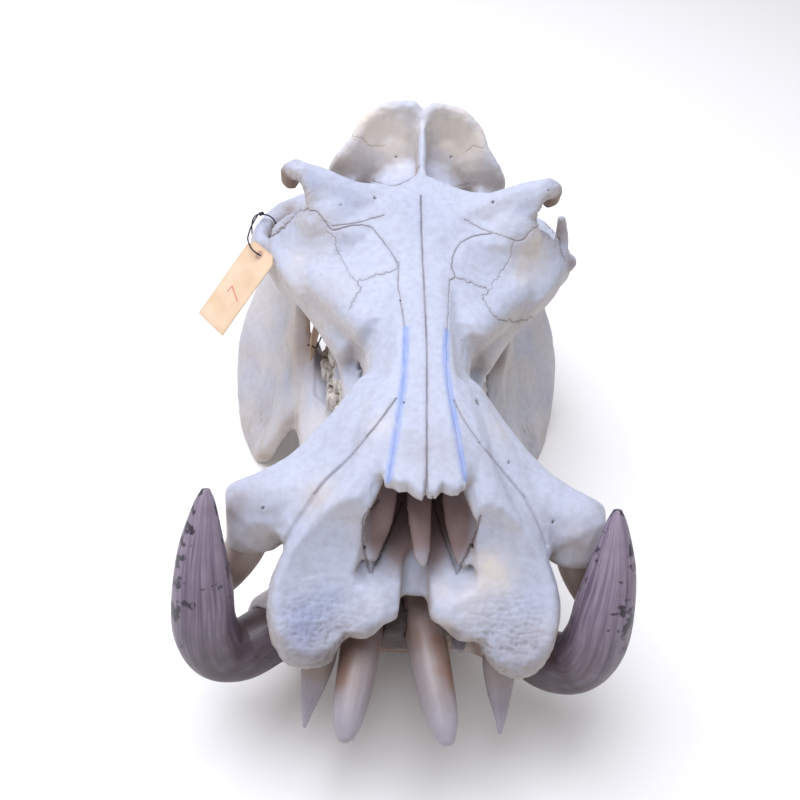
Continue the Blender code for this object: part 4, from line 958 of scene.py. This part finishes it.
LOWER_CHEEK_TEETH = (  # y, x, half length, half width
    (0.232, 0.063, 0.0130, 0.0085), (0.262, 0.066, 0.0145, 0.0100), (0.293, 0.070, 0.0140, 0.0115),
    (0.328, 0.076, 0.0185, 0.0130), (0.372, 0.084, 0.0220, 0.0145), (0.424, 0.094, 0.0275, 0.0145),
)
BITE_GAP, LOWER_ROOT = 0.0004, 0.140
for side_name, side in SIDES:
    cheek_row(f"lower_cheek_teeth_{side_name}", LOWER_CHEEK_TEETH, BITE - BITE_GAP, LOWER_ROOT, side, JAW)


# Tusks: the lower canines. Each is a half circle of ivory with one broad, finely ribbed outer face, tapering
# to the tip. Weather has turned them mauve and brown, with black blotches along the outer edge.

TUSK_LINE = (  # a point, and half the width and thickness there
    (0.112, 0.090, 0.108, 0.030, 0.030), (0.138, 0.067, 0.114, 0.031, 0.031),
    (0.165, 0.049, 0.114, 0.031, 0.031), (0.188, 0.042, 0.130, 0.031, 0.031),
    (0.199, 0.047, 0.168, 0.031, 0.031), (0.200, 0.062, 0.210, 0.029, 0.029),
    (0.201, 0.083, 0.250, 0.022, 0.022), (0.199, 0.106, 0.286, 0.011, 0.011),
    (0.198, 0.115, 0.300, 0.004, 0.004),
)


ROD_SQUARENESS = 2.2
FINE = 1


def rod(name, stations, up, side, offset, sides, ribs, seed):
    """A tooth swept along its stations, ribbed along its length.

    It returns the mesh, the share of the way to the tip, the angle round it and the streaks.
    """
    gap, sides = 0.0009 * FINE, sides // FINE
    rows, _ = evenly(through(stations, 40), gap)
    line = rows[:, :3]
    along = unit(np.gradient(line, axis=0))
    across = unit(np.cross(along, up))
    rise = np.cross(across, along)
    angle = 2 * math.pi * np.arange(sides) / sides
    c, s = np.cos(angle), np.sin(angle)
    a, b = squared(c, ROD_SQUARENESS), squared(s, ROD_SQUARENESS)
    run = np.arange(len(line)) * gap
    girth = rows[:, 3].max()
    sample = np.stack([np.tile(c * girth, len(line)), np.tile(s * girth, len(line)),
                       np.repeat(run * 0.045, sides)], axis=1)
    streaks = bumpy(sample, (0.7, 0.0034, 60 + seed), (0.8, 0.0013, 61 + seed))
    rings = value_noise(np.stack([run, 0 * run, 0 * run], axis=1), 0.0060, 62 + seed)
    grow = ribs * streaks.reshape(len(line), sides) + 0.5 * ribs * rings[:, None]
    grow = grow * np.clip(rows[:, 3:4] / 0.010, 0, 1)
    points = (line[:, None] + across[:, None] * (a * (rows[:, 3:4] + grow))[:, :, None]
              + rise[:, None] * (b * (rows[:, 4:5] + grow))[:, :, None])
    points = np.vstack([points.reshape(-1, 3), line[:1], line[-1:]]) * (side, 1, 1) + shift + offset
    mesh = mesh_of(name, points, skin(len(line), sides, False))
    share, turn = np.repeat(run / run[-1], sides), np.tile(angle, len(line))
    return mesh, *(np.concatenate(pair) for pair in ((share, (0, 1)), (turn, (0, 0)), (streaks, (0, 0))))


def ivory(name, pale, mid, dark, root, roughness):
    """Dentine: satin and finely streaked, with a stained root; the marks say where each colour lies."""
    made, shader, tree = start_material(name, roughness)
    where = add(tree, "ShaderNodeTexCoord").outputs["Object"]
    streaked, blotched, rooted = painted(tree, "marks")
    cloud = add(tree, "ShaderNodeTexNoise", {"Scale": of_size(16.7), "Detail": 5.0}, {"Vector": where})
    grain = add(tree, "ShaderNodeTexNoise", {"Scale": of_size(1.429), "Detail": 3.0}, {"Vector": where})
    streak = add(tree, "ShaderNodeValToRGB", {"ends": ((0.15, mid), (0.80, pale))}, {"Fac": streaked})
    coat = tinted(tree, streak.outputs["Color"], mid, cloud.outputs["Fac"], 0.7)
    coat = tinted(tree, tinted(tree, coat, root, rooted), dark, blotched)
    relief = add(tree, "ShaderNodeBump", {"Strength": 0.35, "Distance": 0.0003},
                 {"Height": grain.outputs["Fac"]})
    dress(tree, shader, coat, relief)
    return made


stained_ivory = ivory("stained_tusk_ivory", "A799AA", "6A5D6F", "241E2A", "4C3D40", 0.40)
for side_name, side in SIDES:
    name = f"tusk_{side_name}"
    mesh, share, turn, streaks = rod(f"{name}_ivory", TUSK_LINE, (0, -1, 0.3), side, JAW, 150, 0.00022,
                                     3 if side > 0 else 0)
    spots = coordinates(mesh)
    patches = bumpy(spots, (1, 0.016, 70 + side), (0.7, 0.0065, 73 + side), (0.5, 0.0026, 75 + side))
    outer = np.clip(np.cos(turn - 0.45), 0, 1) ** 3 * ramp(share, 0.36, 0.58)
    inner = np.clip(-np.cos(turn), 0, 1) ** 8 * ramp(share, 0.45, 0.60)
    tip = ramp(share, 0.86, 0.98)
    dark = 0.88 * ramp(patches - 1.15 + 1.30 * outer + 1.0 * inner + 0.5 * tip, 0.0, 0.40)
    root = ramp(share, 0.62, 0.26) * (0.85 + bumpy(spots, (0.3, 0.012, 76)))
    paint(mesh, "marks", 0.42 + 0.50 * streaks + 0.20 * ramp(share, 0.60, 0.90), dark, root)
    mesh.materials.append(stained_ivory)
    made = place(f"{name}_ivory", mesh)
    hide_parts(name)


# Front teeth: in the upper jaw a short canine and one peg-like incisor show each side, and in the lower jaw a
# long inner incisor and a short outer one. All are ivory pegs with brown roots and tips worn pale.

SWEPT_TEETH = {  # points with half the width and thickness there, the way up, and how far its jaw has slid
    "upper_canine": (((0.163, 0.126, 0.238, 0.022, 0.022), (0.172, 0.118, 0.208, 0.021, 0.021),
                      (0.182, 0.110, 0.182, 0.018, 0.017), (0.190, 0.103, 0.156, 0.010, 0.010),
                      (0.193, 0.100, 0.145, 0.004, 0.003)), (0, 1, 0), (0, 0, 0)),
    "upper_incisor": (((0.089, 0.028, 0.178, 0.016, 0.015), (0.091, 0.021, 0.158, 0.017, 0.015),
                       (0.095, 0.008, 0.128, 0.013, 0.011), (0.100, -0.008, 0.098, 0.006, 0.006),
                       (0.102, -0.017, 0.080, 0.002, 0.002)), (0, 1, 0), (0, 0, 0)),
    "inner_incisor": (((0.0210, 0.110, 0.1400, 0.0185, 0.0185), (0.0235, 0.068, 0.1480, 0.0205, 0.0205),
                       (0.0320, 0.010, 0.1480, 0.0195, 0.0195), (0.0400, -0.030, 0.1440, 0.0155, 0.0155),
                       (0.0440, -0.051, 0.1415, 0.0085, 0.0085), (0.0445, -0.056, 0.1405, 0.0035, 0.0035)),
                      (0, 0, 1), JAW),
    "outer_incisor": (((0.058, 0.110, 0.132, 0.0090, 0.0090), (0.060, 0.082, 0.136, 0.0095, 0.0095),
                       (0.062, 0.060, 0.135, 0.0085, 0.0085), (0.062, 0.049, 0.133, 0.0060, 0.0060),
                       (0.062, 0.045, 0.132, 0.0020, 0.0020)), (0, 0, 1), JAW),
}
RIGHT_LEAN = {  # how much further out the right lower incisors sit, station by station
    "inner_incisor": (0.0140, 0.0150, 0.0135, 0.0110, 0.0095, 0.0090),
    "outer_incisor": (0.010,) * 5,
}
IVORIES = {
    "upper_canine": ivory("striped_canine_ivory", "CDBFB6", "9A8377", "4A342C", "B9A79C", 0.42),
    "upper_incisor": ivory("pale_incisor_ivory", "ADA8B6", "877E87", "463736", "86766A", 0.45),
    "inner_incisor": ivory("warm_incisor_ivory", "A6A4B2", "8E817F", "7A4C2C", "86695A", 0.40),
}
IVORIES["outer_incisor"] = IVORIES["inner_incisor"]
SIDE_STAIN = {  # the angle round each tooth where its outer side is stained
    "upper_canine": 0.5, "upper_incisor": 2.6, "inner_incisor": 2.5, "outer_incisor": 2.5,
}
for kind, (stations, up, offset) in SWEPT_TEETH.items():
    for side_name, side in SIDES:
        name = f"{kind}_{side_name}"
        line = stations
        if kind in RIGHT_LEAN and side < 0:
            line = [(x + lean, *rest) for lean, (x, *rest) in zip(RIGHT_LEAN[kind], stations)]
        mesh, share, turn, streaks = rod(f"{name}_ivory", line, up, side, offset, 96, 0.00009, 5 + side)
        spots = coordinates(mesh)
        root = ramp(share, 0.62, 0.25) * (0.6 + bumpy(spots, (0.4, 0.010, 80)))
        edge = np.clip(np.cos(turn - SIDE_STAIN[kind]), 0, 1) * fall(share - 0.52, 0.28)
        dark = 0.66 * ramp(bumpy(spots, (0.5, 0.012, 81)) - 0.45 + 1.40 * edge, 0.0, 1.3)
        pale = 0.34 + 0.14 * streaks + 0.55 * ramp(share, 0.62, 0.92) - 0.30 * edge
        paint(mesh, "marks", pale, dark, root)
        mesh.materials.append(IVORIES[kind])
        made = place(f"{name}_ivory", mesh)
        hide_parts(name)
